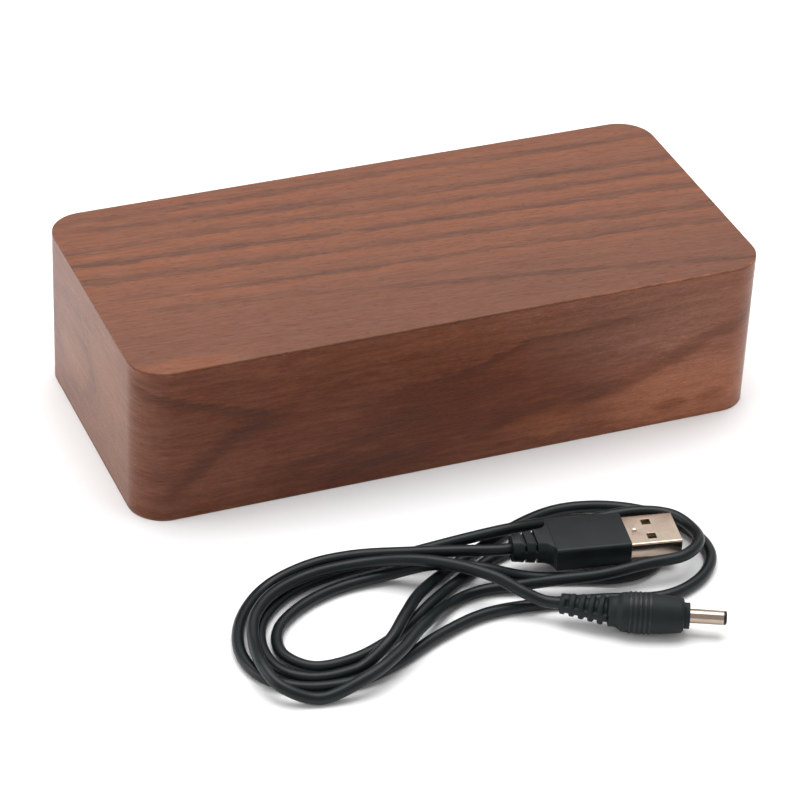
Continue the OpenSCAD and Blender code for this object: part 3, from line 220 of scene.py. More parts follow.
class ClockColours(PropertyGroup):
    """Colours of the finishes."""
    top_light: colour_prop("Top light", "Orange streaks of the top sheet", (0.225, 0.080, 0.041))
    top_mid: colour_prop("Top middle", "Main tone of the top sheet", (0.165, 0.067, 0.041))
    top_dark: colour_prop("Top dark", "Dark lines of the top sheet", (0.098, 0.044, 0.031))
    side_light: colour_prop("Side light", "Palest wood of the side band", (0.400, 0.170, 0.105))
    side_pale: colour_prop("Side pale", "Tan wood of the side band", (0.300, 0.115, 0.066))
    side_mid: colour_prop("Side middle", "Main tone of the side band", (0.190, 0.060, 0.029))
    side_dark: colour_prop("Side dark", "Dark wood of the side band", (0.105, 0.027, 0.010))
    side_deep: colour_prop("Side deep", "Darkest lines of the side band", (0.058, 0.019, 0.010))
    fibreboard: colour_prop("Fibreboard", "Core board under the veneer", (0.30, 0.19, 0.11))
    black_plastic: colour_prop("Black plastic", "Rear panel and controls", (0.012, 0.012, 0.013))
    cord_black: colour_prop("Cord black", "Cord jacket and plug bodies", (0.0042, 0.0072, 0.0078))
    nickel: colour_prop("Nickel", "Plated plug shell and barrel", (0.54, 0.43, 0.345))
    floor: colour_prop("Floor", "Pale floor", (0.93, 0.93, 0.93))


class Finish:
    """One surface finish: a shader and the nodes that feed it."""

    def __init__(self, name):
        self.material = bpy.data.materials.new(name)
        self.material.use_nodes = True
        self.tree = self.material.node_tree
        self.tree.nodes.clear()
        output = self.tree.nodes.new("ShaderNodeOutputMaterial")
        self.shader = self.tree.nodes.new("ShaderNodeBsdfPrincipled")
        self.tree.links.new(self.shader.outputs["BSDF"], output.inputs["Surface"])

    def feed(self, socket, value):
        if isinstance(value, NodeSocket):
            self.tree.links.new(value, socket)
        else:
            socket.default_value = value

    def put(self, kind, inputs=None, **settings):
        node = self.tree.nodes.new("ShaderNode" + kind)
        for key, value in settings.items():
            setattr(node, key, value)
        for key, value in (inputs or {}).items():
            self.feed(node.inputs[key], value)
        return node

    def surface(self, **inputs):
        for key, value in inputs.items():
            words = "IOR" if key == "ior" else key.replace("_", " ").title()
            self.feed(self.shader.inputs[words], value)

    def math(self, operation, *values):
        node = self.put("Math", operation=operation)
        for socket, value in zip(node.inputs, values):
            self.feed(socket, value)
        return node.outputs[0]

    def here(self):
        """Places on the piece itself, in metres."""
        return self.put("TexCoord").outputs["Object"]

    def stretch(self, place, scale, shift=(0, 0, 0)):
        return self.put("Mapping", {"Vector": place, "Scale": scale, "Location": shift}).outputs[0]

    def noise(self, place, scale=1.0, detail=2.0, roughness=0.5):
        inputs = {"Vector": place, "Scale": scale, "Detail": detail, "Roughness": roughness}
        return self.put("TexNoise", inputs).outputs["Fac"]

    def spread(self, value, low, high, new_low=0.0, new_high=1.0, smooth=False):
        """Maps a range onto another one, clamped."""
        inputs = {"Value": value, "From Min": low, "From Max": high, "To Min": new_low, "To Max": new_high}
        kind = "SMOOTHSTEP" if smooth else "LINEAR"
        return self.put("MapRange", inputs, interpolation_type=kind).outputs[0]

    def hump(self, value, start, full, hold, end):
        """Rises smoothly from start to full, and falls from hold to end."""
        return self.math("MULTIPLY", self.spread(value, start, full, smooth=True),
                         self.spread(value, hold, end, 1.0, 0.0, smooth=True))

    def squares(self, side, rise):
        """The square of the way to a place so far to the side and up."""
        return self.math("ADD", self.math("POWER", side, 2.0), self.math("POWER", rise, 2.0))

    def ramp(self, value, stops):
        node = self.put("ValToRGB", {"Fac": value})
        marks = node.color_ramp.elements
        while len(marks) < len(stops):
            marks.new(0.5)
        for mark, (place, tone) in zip(marks, stops):
            mark.position = place
            mark.color = (*tone, 1.0)
        return node.outputs["Color"]

    def mix(self, share, first, second, blend="MIX"):
        node = self.put("Mix", data_type="RGBA", blend_type=blend, clamp_result=True)
        self.feed(node.inputs[MIX_SHARE], share)
        for socket, value in ((MIX_FIRST, first), (MIX_SECOND, second)):
            self.feed(node.inputs[socket], value if isinstance(value, NodeSocket) else (*value, 1.0))
        return node.outputs[MIX_RESULT]

    def line(self, value, points):
        """A drawn line: how one value follows another."""
        node = self.put("FloatCurve", {"Value": value})
        curve = node.mapping.curves[0]
        while len(curve.points) < len(points):
            curve.points.new(0.5, 0.5)
        for point, place in zip(curve.points, points):
            point.location = place
            point.handle_type = "AUTO_CLAMPED"
        node.mapping.update()
        return node.outputs[0]

    def relief(self, height, depth, strength):
        return self.put("Bump", {"Height": height, "Distance": depth, "Strength": strength}).outputs[0]


def colour(context, name):
    return tuple(getattr(context.scene.clock_colours, name))


def scaled(tone, factor, lift=0.0):
    """A tone made darker or lighter."""
    return tuple(min(1.0, part * factor + lift) for part in tone)


def between(value, reach):
    """Where a value lies on the way from minus to plus its reach, from nothing to one."""
    return value / (2 * reach) + 0.5


def moulded_plastic(name, tone, rough, grain=5200.0, depth=0.02 * MM, rubbed=None):
    """Moulded plastic with the fine sparked grain of its tool and a few soft flow marks. Where the piece has an
    attribute of the given name, it is painted paler, a painted highlight, and made smoother."""
    coat = Finish(name)
    place = coat.here()
    grains = coat.noise(place, grain, roughness=0.6)
    flow = coat.noise(place, scale=120.0, detail=3.0, roughness=0.55)
    base = coat.mix(coat.spread(flow, 0.35, 0.75), tone, scaled(tone, 1.4, 0.002))
    satin = coat.spread(coat.math("ADD", grains, flow), 0.6, 1.4, rough - 0.06, rough + 0.08)
    # Painted highlight: where the attribute is set, the colour is painted paler, as if the ring tops caught the
    # light.
    if rubbed:
        painted_glint = coat.put("Attribute", attribute_name=rubbed).outputs["Fac"]
        base = coat.mix(painted_glint, base, scaled(tone, 1.0, 0.009))
        satin = coat.math("MULTIPLY_ADD", painted_glint, -0.2, satin)
    coat.surface(base_color=base, ior=1.34, roughness=satin, normal=coat.relief(grains, depth, strength=0.6))
    return coat.material


def plated_metal(name, tone, rough):
    """Plated metal with faint drawing lines and finger haze."""
    coat = Finish(name)
    place = coat.here()
    lines = coat.noise(coat.stretch(place, (300.0, 9000.0, 9000.0)), roughness=0.6)
    haze = coat.noise(place, scale=420.0, detail=3.0, roughness=0.6)
    coat.surface(base_color=coat.mix(coat.spread(haze, 0.35, 0.7), tone, scaled(tone, 0.93)), metallic=1.0,
                 roughness=coat.spread(coat.math("ADD", lines, haze), 0.7, 1.35, rough - 0.03, rough + 0.04),
                 normal=coat.relief(lines, 0.006 * MM, strength=0.4))
    return coat.material


def circuit_board(name):
    """Green solder mask over faint copper tracks, with a woven board under it."""
    mask, track = (0.008, 0.085, 0.026), (0.030, 0.165, 0.055)
    coat = Finish(name)
    place = coat.here()
    cells = coat.put("TexVoronoi", {"Vector": place, "Scale": 420.0}, feature="DISTANCE_TO_EDGE")
    field = coat.spread(cells.outputs["Distance"], 0.03, 0.06)
    weave = coat.noise(place, scale=3000.0, detail=1.0)
    coat.surface(base_color=coat.mix(field, track, mask), roughness=coat.spread(weave, 0.3, 0.7, 0.28, 0.42),
                 normal=coat.relief(field, 0.03 * MM, strength=0.5))
    return coat.material


def speckled(name, tone, other, scale, rough):
    """A plain technical finish with a fine two-tone grain."""
    coat = Finish(name)
    grain = coat.noise(coat.here(), scale, detail=3.0, roughness=0.6)
    coat.surface(base_color=coat.mix(coat.spread(grain, 0.35, 0.65), tone, other),
                 roughness=coat.spread(grain, 0.3, 0.7, rough - 0.06, rough + 0.06),
                 normal=coat.relief(grain, 0.02 * MM, strength=0.5))
    return coat.material


def fibreboard(name, tone):
    """Pressed wood fibre: pale short strands in a brown ground."""
    coat = Finish(name)
    place = coat.here()
    strands = coat.noise(coat.stretch(place, (700.0, 1800.0, 2600.0)), detail=4.0, roughness=0.7)
    clouds = coat.noise(place, scale=160.0)
    ground = coat.math("ADD", coat.math("MULTIPLY", strands, 0.7), coat.math("MULTIPLY", clouds, 0.3))
    base = coat.ramp(ground, ((0.32, scaled(tone, 0.55)), (0.5, tone), (0.68, scaled(tone, 1.3))))
    coat.surface(base_color=base, roughness=0.85, normal=coat.relief(strands, 0.1 * MM, strength=0.6))
    return coat.material


def walnut_grain(coat, place, shorter, narrower):
    """Fine fibres, wisps, streaks and pores of a walnut sheet whose grain runs along the first axis. Its flecks
    are so many times shorter and narrower than the millimetres given here."""
    def fleck(length, width, shift, detail):
        scale = (shorter / (length * MM), narrower / (width * MM), 1.0)
        spot = coat.stretch(place, scale, shift=(shift, shift + 2, 0))
        return coat.noise(spot, detail=detail, roughness=0.6)
    short, long = fleck(1.9, 0.3, 4, 1.0), fleck(3.3, 0.6, 0, 2.0)
    fibres = coat.math("MULTIPLY_ADD", short, 0.45, coat.math("MULTIPLY", long, 0.55))
    wisps = fleck(10.0, 1.0, 1, 2.0)
    streaks = fleck(40.0, 2.3, 7, 3.0)
    pores = coat.spread(fleck(3.0, 0.38, 3, 1.0), 0.64, 0.74)
    return fibres, wisps, streaks, pores


def frayed(coat, value, wisps, place, scale, sway, fringe):
    """Lets a place wander with the wisps and with a finer noise, so that what is drawn by it looks grown."""
    fray = coat.noise(coat.stretch(place, scale), detail=3.0, roughness=0.65)
    value = coat.math("ADD", value, coat.spread(wisps, 0.0, 1.0, -sway, sway))
    return coat.math("ADD", value, coat.spread(fray, 0.0, 1.0, -fringe, fringe))


def tint(coat, figure, value, weight):
    """Adds a value that swings about one half to the figure."""
    return coat.math("MULTIPLY_ADD", coat.math("SUBTRACT", value, 0.5), weight, figure)


def rim_distance(coat, axes):
    """How far a place on the top or bottom sheet lies inside the sheet's outline."""
    past = []
    for side, half in zip(axes.outputs, (HALF_L, HALF_W)):
        past.append(coat.math("MAXIMUM", coat.math("SUBTRACT", coat.math("ABSOLUTE", side), half), 0.0))
    return coat.math("SUBTRACT", CORNER_R, coat.math("SQRT", coat.squares(*past)))


def soft_patch(coat, along, up, middle, reach):
    """A soft oval area: one at its middle, nothing outside its reach, both in millimetres."""
    steps = []
    for place, centre, far in zip((along, up), middle, reach):
        steps.append(coat.spread(place, (centre - far) * MM, (centre + far) * MM, -1.0, 1.0))
    return coat.spread(coat.squares(*steps), 0.0, 1.0, 1.0, 0.0, smooth=True)


def grain_eye(coat, figure, along, up, middle, reach, depth, glow):
    """Draws an oval eye into the figure: light in the middle, with dark rings that fade outwards."""
    steps = []
    for place, centre, far in zip((along, up), middle, reach):
        steps.append(coat.math("DIVIDE", coat.math("SUBTRACT", place, centre * MM), far * MM))
    bend = coat.noise(coat.put("CombineXYZ", {"X": along, "Y": up}).outputs[0], scale=75.0)
    out = coat.math("SQRT", coat.squares(*steps))
    out = coat.math("ADD", out, coat.spread(bend, 0.25, 0.75, -0.34, 0.34))
    broken = coat.spread(bend, 0.38, 0.66, 1.0, 0.25, smooth=True)
    figure = coat.math("MULTIPLY_ADD", coat.spread(out, 0.0, 0.9, 1.0, 0.0, smooth=True), glow, figure)
    for place, share in EYE_RINGS:
        ring = coat.hump(out, place - EYE_FADE_IN, place, place, place + EYE_FADE_OUT)
        figure = coat.math("MULTIPLY_ADD", coat.math("MULTIPLY", ring, broken), -depth * share, figure)
    return figure


def grain_line(coat, figure, along, up, points, below, above, span, depth, glow=0.0):
    """Draws one soft dark line into the figure: its points, the width of its two sides, where it fades in and
    out, how dark it is, and how light the wood is just below it. Lengths are in millimetres."""
    run = coat.spread(along, -LINE_REACH * MM, LINE_REACH * MM)
    middle = coat.line(run, [(between(x, LINE_REACH), between(z, LINE_RISE)) for x, z in points])
    off = coat.math("SUBTRACT", up, coat.spread(middle, 0.0, 1.0, -LINE_RISE * MM, LINE_RISE * MM))
    shade = coat.hump(off, -below * MM, 0.0, 0.0, above * MM)
    fade = coat.hump(along, *(x * MM for x in span))
    figure = coat.math("MULTIPLY_ADD", coat.math("MULTIPLY", shade, fade), -depth, figure)
    if glow:
        bright = coat.hump(off, *(z * MM for z in LINE_GLOW))
        figure = coat.math("MULTIPLY_ADD", coat.math("MULTIPLY", bright, fade), glow, figure)
    return figure


def finish_wood(coat, wood, place, fibres, pores, dark, contrast, fibre_sheen, ior, haze):
    """Lays fine fibres, longer strands and open pores over the wood's colour and sets its satin. The longer
    strands add and take away a little neutral light, a painted sheen.
    """
    strands = coat.noise(coat.stretch(place, (110.0, 1500.0, 1.0)))
    wood = coat.mix(1.0, wood, coat.spread(fibres, 0.2, 0.8, 1.0 - contrast, 1.0 + contrast), "MULTIPLY")
    # Painted sheen: the strands lighten and darken the colour a little, standing in for fine reflections along
    # the fibres.
    wood = coat.mix(1.0, wood, coat.spread(strands, 0.3, 0.7, -fibre_sheen, fibre_sheen), "ADD")
    wood = coat.mix(coat.math("MULTIPLY", pores, 0.4), wood, scaled(dark, 0.6))
    coat.surface(base_color=wood, ior=ior, sheen_weight=haze, sheen_roughness=0.3,
                 roughness=coat.spread(fibres, 0.3, 0.7, 0.38, 0.52),
                 normal=coat.relief(coat.math("SUBTRACT", fibres, pores), 0.14 * MM, strength=0.6))


def walnut_top(context):
    """Straight striped walnut: orange streaks between grey-brown ones, with thin dark lines that fan out, and
    painted highlights at the near left corner and along the cut edge.
    """
    coat = Finish("walnut_top_sheet")
    place = coat.here()
    axes = coat.put("SeparateXYZ", {"Vector": place})
    along, across = axes.outputs[0], axes.outputs[1]
    slant = coat.math("MULTIPLY_ADD", along, TOP_LEAN, across)
    lay = coat.put("CombineXYZ", {"X": along, "Y": slant}).outputs[0]
    fibres, wisps, streaks, pores = walnut_grain(coat, lay, shorter=1.0, narrower=0.75)
    row = frayed(coat, across, wisps, lay, (120.0, 900.0, 1.0), sway=2.0 * MM, fringe=2.2 * MM)
    figure = coat.line(coat.spread(across, -CASE_W / 2, CASE_W / 2), TOP_TONES)
    # The figure is calmer towards the front.
    lively = coat.spread(across, -30 * MM, -6 * MM, 0.45, 1.0)
    figure = tint(coat, figure, streaks, coat.math("MULTIPLY", lively, 0.85))
    figure = tint(coat, figure, wisps, coat.math("MULTIPLY", lively, 0.38))
    for points, near, far, span, depth, glow in TOP_LINES:
        figure = grain_line(coat, figure, along, row, points, near, far, span, depth, glow)
    # Painted highlight: the near left corner of the top is painted lighter.
    corner = soft_patch(coat, along, across, middle=(-76, -38), reach=(22, 5))
    figure = coat.math("MULTIPLY_ADD", corner, 0.35, figure)
    light, mid, dark = (colour(context, "top_" + name) for name in ("light", "mid", "dark"))
    wood = coat.ramp(figure, ((0.0, dark), (0.5, mid), (1.0, light)))
    # The rim is rubbed in small chips. The cut edge of the sheet is painted paler towards the right, a painted
    # highlight.
    chips = coat.noise(coat.stretch(place, (260.0, 260.0, 900.0)), detail=3.0, roughness=0.7)
    inside = rim_distance(coat, axes)
    rim = coat.spread(inside, 0.1 * MM, 0.6 * MM, 1.0, 0.0)
    worn = coat.math("MULTIPLY", rim, coat.spread(chips, 0.5, 0.64))
    wood = coat.mix(coat.math("MULTIPLY", worn, 0.5), wood, light)
    cut_edge_highlight = coat.spread(inside, 0.05 * MM, 0.3 * MM, 1.0, 0.0)
    rightward = coat.spread(along, 5 * MM, 60 * MM, 0.0, 0.85)
    patchy = coat.math("MULTIPLY", rightward, coat.spread(chips, 0.42, 0.58, 0.35, 1.0))
    wood = coat.mix(coat.math("MULTIPLY", cut_edge_highlight, patchy), wood, scaled(light, 1.7))
    finish_wood(coat, wood, lay, fibres, pores, dark, contrast=0.21, fibre_sheen=0.009, ior=1.22, haze=0.0)
    return coat.material


def walnut_side(context):
    """Walnut band wrapped round the block, with soft dark figure along the front, a knot at the left end, and
    painted reflection on the left end and the near left corner.
    """
    coat = Finish("walnut_side_band")
    place = coat.put("UVMap", uv_map="round_the_block").outputs[0]
    axes = coat.put("SeparateXYZ", {"Vector": place})
    along, up = axes.outputs[0], axes.outputs[1]
    fibres, wisps, streaks, pores = walnut_grain(coat, place, shorter=1.8, narrower=1.0)
    rise = frayed(coat, up, wisps, place, (140.0, 1000.0, 1.0), sway=1.8 * MM, fringe=1.6 * MM)
    way = coat.spread(along, -BAND_REACH * MM, BAND_REACH * MM)
    figure = coat.line(way, [(between(x, BAND_REACH), tone) for x, tone in SIDE_TONES])
    figure = tint(coat, figure, streaks, 0.36)
    figure = tint(coat, figure, wisps, 0.28)
    for middle, reach, weight in SIDE_AREAS:
        figure = coat.math("MULTIPLY_ADD", soft_patch(coat, along, rise, middle, reach), weight, figure)
    figure = grain_eye(coat, figure, along, rise, middle=(-136, 18), reach=(16, 9.5), depth=0.14, glow=0.12)
    for points, low, high, span, depth in SIDE_LINES:
        figure = grain_line(coat, figure, along, rise, points, low, high, span, depth)
    light, pale, mid, dark, deep = (colour(context, "side_" + name)
                                    for name in ("light", "pale", "mid", "dark", "deep"))
    wood = coat.ramp(figure, ((0.0, deep), (0.25, dark), (0.5, mid), (0.75, pale), (1.0, light)))
    # The casts tint the wood; the last two are painted reflection.
    for middle, reach, cast in SIDE_CASTS:
        wood = coat.mix(soft_patch(coat, along, rise, middle, reach), wood, cast, "MULTIPLY")
    # The upper edge is rubbed in small chips.
    chips = coat.noise(coat.stretch(place, (420.0, 900.0, 1.0)), detail=3.0, roughness=0.7)
    edge = coat.spread(up, CASE_H - 1.6 * MM, CASE_H - 0.7 * MM)
    worn = coat.math("MULTIPLY", edge, coat.spread(chips, 0.52, 0.64))
    wood = coat.mix(coat.math("MULTIPLY", worn, 0.4), wood, pale)
    finish_wood(coat, wood, place, fibres, pores, deep, contrast=0.34, fibre_sheen=0.006, ior=1.31, haze=0.3)
    return coat.material


def merged_copy(node, name, join):
    """A copy of a solid's mesh with its loose triangles joined."""
    form = bmesh.new()
    form.from_mesh(NODES[node].data)
    bmesh.ops.remove_doubles(form, verts=form.verts, dist=join)
    bmesh.ops.dissolve_limit(form, angle_limit=math.radians(FLAT_TURN), use_dissolve_boundaries=False,
                             verts=form.verts, edges=form.edges, delimit=set())
    mesh = bpy.data.meshes.new(name)
    form.to_mesh(mesh)
    form.free()
    return mesh


def eased(context, node, name, material, body, edge=0.0, segments=3, turn=EDGE_TURN, join=WELD):
    """A solid's copy in its place: edges eased where the faces turn by more than so many degrees, smooth
    elsewhere."""
    mesh = merged_copy(node, name, join)
    mesh.materials.append(material)
    mesh.polygons.foreach_set("use_smooth", [True] * len(mesh.polygons))
    mesh.set_sharp_from_angle(angle=math.radians(turn))
    piece = bpy.data.objects.new(name, mesh)
    context.scene.collection.objects.link(piece)
    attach(piece, body)
    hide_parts(node)
    if edge > 0:
        ease = piece.modifiers.new("eased_edges", "BEVEL")
        ease.width = edge
        ease.segments = segments
        ease.limit_method = "ANGLE"
        ease.angle_limit = math.radians(turn)
        ease.use_clamp_overlap = False
        ease.harden_normals = True
    return piece


def dress(node, material):
    """Puts a finish on a solid that is shown as it is."""
    NODES[node].data.materials[0] = material


def round_the_block(x, y):
    """Distance along the outside of the block from the middle of its front, positive to the right."""
    side = 1.0 if x >= 0 else -1.0
    x = abs(x)
    if x <= HALF_L:
        if y < 0:
            return side * x
        return side * (WAY_ROUND / 2 - x)
    if abs(y) <= HALF_W:
        return side * (HALF_L + CORNER_ARC + HALF_W + y)
    swing = math.atan2(x - HALF_L, abs(y) - HALF_W)
    if y < 0:
        return side * (HALF_L + CORNER_R * swing)
    return side * (WAY_ROUND / 2 - HALF_L - CORNER_R * swing)


class CLOCK_OT_stage(Operator):
    """Camera, pale floor and soft studio light"""
    bl_idname = "clock.stage"
    bl_label = "Stage"

    def execute(self, context):
        self.aim_camera(context)
        self.lay_floor(context)
        world = bpy.data.worlds.new("studio_world")
        world.use_nodes = True
        sky = world.node_tree.nodes["Background"]
        sky.inputs["Color"].default_value = (1.0, 1.0, 1.0, 1.0)
        sky.inputs["Strength"].default_value = SKY_STRENGTH
        context.scene.world = world
        context.scene.view_settings.view_transform = "Standard"
        for softbox in SOFTBOXES:
            self.light(context, *softbox)
        return {"FINISHED"}

    def aim_camera(self, context):
        lens = bpy.data.cameras.new("studio_camera")
        lens.sensor_width = SENSOR_WIDTH
        lens.sensor_fit = "HORIZONTAL"
        lens.lens = SENSOR_WIDTH * LENS_PIXELS / PICTURE_WIDTH
        lens.clip_start = 0.05
        camera = bpy.data.objects.new("studio_camera", lens)
        back = Vector(CAMERA_BACK).normalized()
        above = back.cross(Vector(CAMERA_RIGHT).normalized()).normalized()
        turn = Matrix((above.cross(back), above, back)).transposed().to_4x4()
        camera.matrix_world = Matrix.Translation(CAMERA_SPOT) @ turn
        context.scene.collection.objects.link(camera)
        context.scene.camera = camera

    def lay_floor(self, context):
        ground = bmesh.new()
        half = context.scene.clock_sizes.floor_size / 2
        bmesh.ops.create_grid(ground, x_segments=1, y_segments=1, size=half)
        mesh = bpy.data.meshes.new("pale_floor")
        ground.to_mesh(mesh)
        ground.free()
        floor = bpy.data.objects.new("pale_floor", mesh)
        context.scene.collection.objects.link(floor)
        pale = Finish("pale_floor_paint")
        tone = colour(context, "floor")
        clouds = pale.noise(pale.here(), scale=3.0)
        pale.surface(base_color=pale.mix(clouds, tone, scaled(tone, 0.985)), roughness=0.9)
        mesh.materials.append(pale.material)

    def light(self, context, name, spot, aim, width, height, power):
        lamp = bpy.data.lights.new(name, "AREA")
        lamp.shape = "RECTANGLE"
        lamp.size = width
        lamp.size_y = height
        lamp.energy = power
        box = bpy.data.objects.new(name, lamp)
        box.location = spot
        box.rotation_euler = (Vector(aim) - Vector(spot)).to_track_quat("-Z", "Y").to_euler()
        context.scene.collection.objects.link(box)


class CLOCK_OT_wood_case(Operator):
    """Core board, the two walnut sheets and the walnut band"""
    bl_idname = "clock.wood_case"
    bl_label = "Wood case"

    def execute(self, context):
        edge = context.scene.clock_sizes.case_edge
        top = walnut_top(context)
        side = walnut_side(context)
        eased(context, "top_veneer", "top_sheet", top, "clock", edge)
        eased(context, "bottom_veneer", "bottom_sheet", top, "clock", edge)
        band = eased(context, "side_veneer", "side_band", side, "clock")
        layer = band.data.uv_layers.new(name="round_the_block")
        for face in band.data.polygons:
            spots = [band.data.vertices[band.data.loops[i].vertex_index].co for i in face.loop_indices]
            around = [round_the_block(spot.x, spot.y) for spot in spots]
            # A face across the middle of the back goes on past the seam there.
            wide = max(around) - min(around) > WAY_ROUND / 2
            for i, spot, turn in zip(face.loop_indices, spots, around):
                if wide and turn < 0:
                    turn += WAY_ROUND
                layer.data[i].uv = (turn, spot.z)
        dress("case_core", fibreboard("core_board", colour(context, "fibreboard")))
        return {"FINISHED"}


class CLOCK_OT_rear_controls(Operator):
    """Rear panel, buttons, slider, cap and socket"""
    bl_idname = "clock.rear_controls"
    bl_label = "Rear controls"

    def execute(self, context):
        sizes = context.scene.clock_sizes
        tone = colour(context, "black_plastic")
        shell = moulded_plastic("panel_plastic", tone, rough=0.5)
        keys = moulded_plastic("button_plastic", scaled(tone, 1.6), rough=0.38)
        eased(context, "rear_panel", "back_panel", shell, "clock", sizes.fine_edge,
              join=PANEL_WELD)
        for name in ("set_button", "up_button", "down_button", "sound_slider"):
            eased(context, name, name + "_cap", keys, name, sizes.moulding_edge)
        eased(context, "battery_cap", "cell_cover", shell, "battery_cap", sizes.moulding_edge)
        steel = plated_metal("screw_steel", (0.42, 0.42, 0.43), rough=0.3)
        for name in ("panel_screws", "board_screws", "display_screws"):
            dress(name, steel)
        dress("dc_socket", moulded_plastic("socket_plastic", tone, rough=0.42))
        dress("dc_socket_pin", plated_metal("socket_pin_plate", colour(context, "nickel"), rough=0.2))
        return {"FINISHED"}


class CLOCK_OT_inner_works(Operator):
    """Display, boards and what sits on them"""
    bl_idname = "clock.inner_works"
    bl_label = "Inner works"

    def execute(self, context):
        board = circuit_board("board_mask")
        chip = speckled("chip_resin", (0.012, 0.012, 0.013), (0.022, 0.022, 0.024), 5000.0, rough=0.55)
        metal = plated_metal("contact_spring", (0.55, 0.53, 0.49), rough=0.25)
        finishes = {
            "diffuser_film": moulded_plastic("frosted_film", (0.62, 0.62, 0.60), rough=0.6),
            "digit_reflector": moulded_plastic("reflector_white", (0.74, 0.74, 0.73), rough=0.45),
            "display_leds": speckled("led_lens", (0.75, 0.70, 0.48), (0.82, 0.80, 0.66), 2500.0, rough=0.3),
            "display_board": board,
            "main_board": board,
            "display_driver": chip,
            "clock_chip": chip,
            "buzzer": chip,
            "slide_switch": metal,
            "tact_switches": metal,
            "cell_contacts": metal,
            "backup_cell": plated_metal("cell_steel", (0.58, 0.58, 0.57), rough=0.28),
            "clock_crystal": plated_metal("crystal_can", (0.60, 0.60, 0.60), rough=0.25),
            "microphone": plated_metal("microphone_can", (0.55, 0.55, 0.56), rough=0.3),
            "capacitor": speckled("capacitor_sleeve", (0.02, 0.025, 0.05), (0.03, 0.035, 0.065), 900.0,
                                  rough=0.35),
            "ribbon_cable": speckled("ribbon_grey", (0.36, 0.36, 0.37), (0.44, 0.44, 0.45), 1500.0, rough=0.5),
            "ribbon_plugs": moulded_plastic("white_nylon", (0.70, 0.69, 0.64), rough=0.5),
        }
        for name, material in finishes.items():
            dress(name, material)
        eased(context, "temperature_sensor", "warmth_bead", chip, "clock")
        return {"FINISHED"}


class CLOCK_OT_plugs(Operator):
    """Large flat plug and small round plug of the cord"""
    bl_idname = "clock.plugs"
    bl_label = "Plugs"

    def execute(self, context):
        sizes = context.scene.clock_sizes
        tone = colour(context, "cord_black")
        body = moulded_plastic("plug_moulding", tone, rough=0.42, grain=3600.0)
        nickel = plated_metal("plug_nickel", colour(context, "nickel"), rough=0.2)
        eased(context, "usb_overmould", "large_plug_body", body, "clock", sizes.fine_edge)
        eased(context, "usb_shell", "large_plug_shell", nickel, "clock", sizes.metal_edge,
              segments=2, turn=SHELL_TURN)
        # The tops of the raised rings get a painted highlight.
        grip = moulded_plastic("small_plug_moulding", tone, rough=0.6, grain=3600.0, rubbed="rubbed_rings")
        small = eased(context, "dc_overmould", "small_plug_body", grip, "clock")
        self.mark_ring_highlights(small.data)
        # Painted reflection: the barrel's nickel is painted a fifth darker, standing in for the dark
        # surroundings it mirrors.
        dimmed_barrel_nickel = plated_metal("barrel_nickel", scaled(colour(context, "nickel"), 0.8), rough=0.2)
        eased(context, "dc_barrel", "small_plug_barrel", dimmed_barrel_nickel, "clock", sizes.metal_edge)
        dress("usb_tongue", moulded_plastic("tongue_nylon", (0.70, 0.59, 0.43), rough=0.5))
        dress("usb_contacts", plated_metal("contact_gold", (0.80, 0.58, 0.25), rough=0.2))
        dress("dc_insulator", moulded_plastic("tip_insulator", tone, rough=0.45))
        dress("dc_contact", plated_metal("inner_contact", colour(context, "nickel"), rough=0.25))
        return {"FINISHED"}

    def mark_ring_highlights(self, mesh):
        """Marks the tops of the raised rings round the small plug, found by their step up from the body, where
        a painted highlight goes.
        """
        barrel = [corner.co for corner in NODES["dc_barrel"].data.vertices]
        middle = sum(barrel, Vector()) / len(barrel)
        off = [spot - middle for spot in barrel]
        turn = math.atan2(2 * sum(o.x * o.y for o in off), sum(o.x ** 2 - o.y ** 2 for o in off)) / 2
        along = Vector((math.cos(turn), math.sin(turn), 0.0))
        places = []
        for corner in mesh.vertices:
            reach = (corner.co - middle).dot(along)
            places.append((reach, (corner.co - middle - reach * along).length))
        steps = {}
        for reach, radius in places:
            steps.setdefault(round(reach / MM, 1), []).append(radius)
        # A top stands about one step above a point less than a quarter of a millimetre along from it.
        tops = []
        for reach, radius in places:
            near = [r for shift in (-0.1, 0.0, 0.1) for r in steps.get(round(reach / MM + shift, 1), ())]
            raised = any(RING_STEP * 0.6 < radius - r < RING_STEP * 1.4 for r in near)
            tops.append(float(raised and radius > RING_LEAST))
        if not any(tops):
            raise RuntimeError("the small plug has no raised rings")
        mesh.attributes.new("rubbed_rings", "FLOAT", "POINT").data.foreach_set("value", tops)


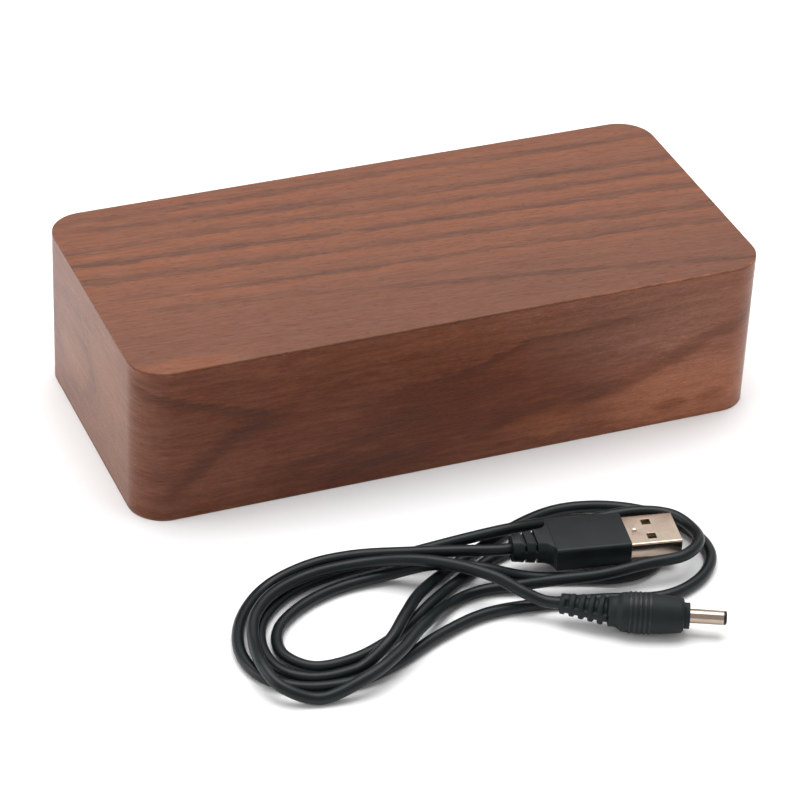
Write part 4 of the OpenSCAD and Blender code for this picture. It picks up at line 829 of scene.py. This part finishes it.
class CLOCK_OT_power_cord(Operator):
    """Thin black cord lying in loose loops"""
    bl_idname = "clock.power_cord"
    bl_label = "Power cord"

    def execute(self, context):
        diameter = context.scene.clock_sizes.cord_diameter
        line = self.lay()
        curve = bpy.data.curves.new("power_cord_run", "CURVE")
        curve.dimensions = "3D"
        curve.bevel_depth = diameter / 2
        curve.bevel_resolution = 6
        curve.use_fill_caps = True
        run = curve.splines.new("POLY")
        run.points.add(len(line) - 1)
        for point, spot in zip(run.points, line):
            point.co = (*spot, 1.0)
        run.use_smooth = True
        cord = bpy.data.objects.new("power_cord_run", curve)
        context.scene.collection.objects.link(cord)
        curve.materials.append(moulded_plastic("cord_jacket", colour(context, "cord_black"), rough=0.36,
                                               grain=1800.0, depth=0.01 * MM))
        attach(cord, "clock")
        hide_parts("power_cord")
        return {"FINISHED"}

    def lay(self):
        """The cord's middle line in metres: a smooth way through the route, never below its rest height."""
        route = [Vector(spot) for spot in CORD_ROUTE]
        route = [2 * route[0] - route[1], *route, 2 * route[-1] - route[-2]]
        line = []
        for a, b, c, d in zip(route, route[1:], route[2:], route[3:]):
            for step in range(CORD_STEPS):
                t = step / CORD_STEPS
                spot = (2 * b + (c - a) * t + (2 * a - 5 * b + 4 * c - d) * t ** 2
                        + (3 * b - a - 3 * c + d) * t ** 3) / 2
                line.append(spot)
        line.append(route[-2])
        return [Vector((spot.x, spot.y, max(spot.z, CORD_REST))) * MM for spot in line]


class CLOCK_PT_tools(Panel):
    """Lists the pieces of the clock and their sizes and colours"""
    bl_idname = "CLOCK_PT_tools"
    bl_label = "Block clock"
    bl_space_type = "VIEW_3D"
    bl_region_type = "UI"
    bl_category = "Clock"

    def draw(self, context):
        for maker in MAKERS:
            self.layout.operator(maker.bl_idname)
        for group in (context.scene.clock_sizes, context.scene.clock_colours):
            box = self.layout.box()
            for name in group.bl_rna.properties.keys():
                if name not in ("rna_type", "name"):
                    box.prop(group, name)


MAKERS = (CLOCK_OT_stage, CLOCK_OT_wood_case, CLOCK_OT_rear_controls, CLOCK_OT_inner_works, CLOCK_OT_plugs,
          CLOCK_OT_power_cord)
CLASSES = (ClockSizes, ClockColours, *MAKERS, CLOCK_PT_tools)


def register():
    for cls in CLASSES:
        bpy.utils.register_class(cls)
    bpy.types.Scene.clock_sizes = PointerProperty(type=ClockSizes)
    bpy.types.Scene.clock_colours = PointerProperty(type=ClockColours)


def unregister():
    del bpy.types.Scene.clock_colours
    del bpy.types.Scene.clock_sizes
    for cls in reversed(CLASSES):
        bpy.utils.unregister_class(cls)


def main():
    register()
    bpy.ops.clock.stage()
    bpy.ops.clock.wood_case()
    bpy.ops.clock.rear_controls()
    bpy.ops.clock.inner_works()
    bpy.ops.clock.plugs()
    bpy.ops.clock.power_cord()


if __name__ == "__main__":
    main()
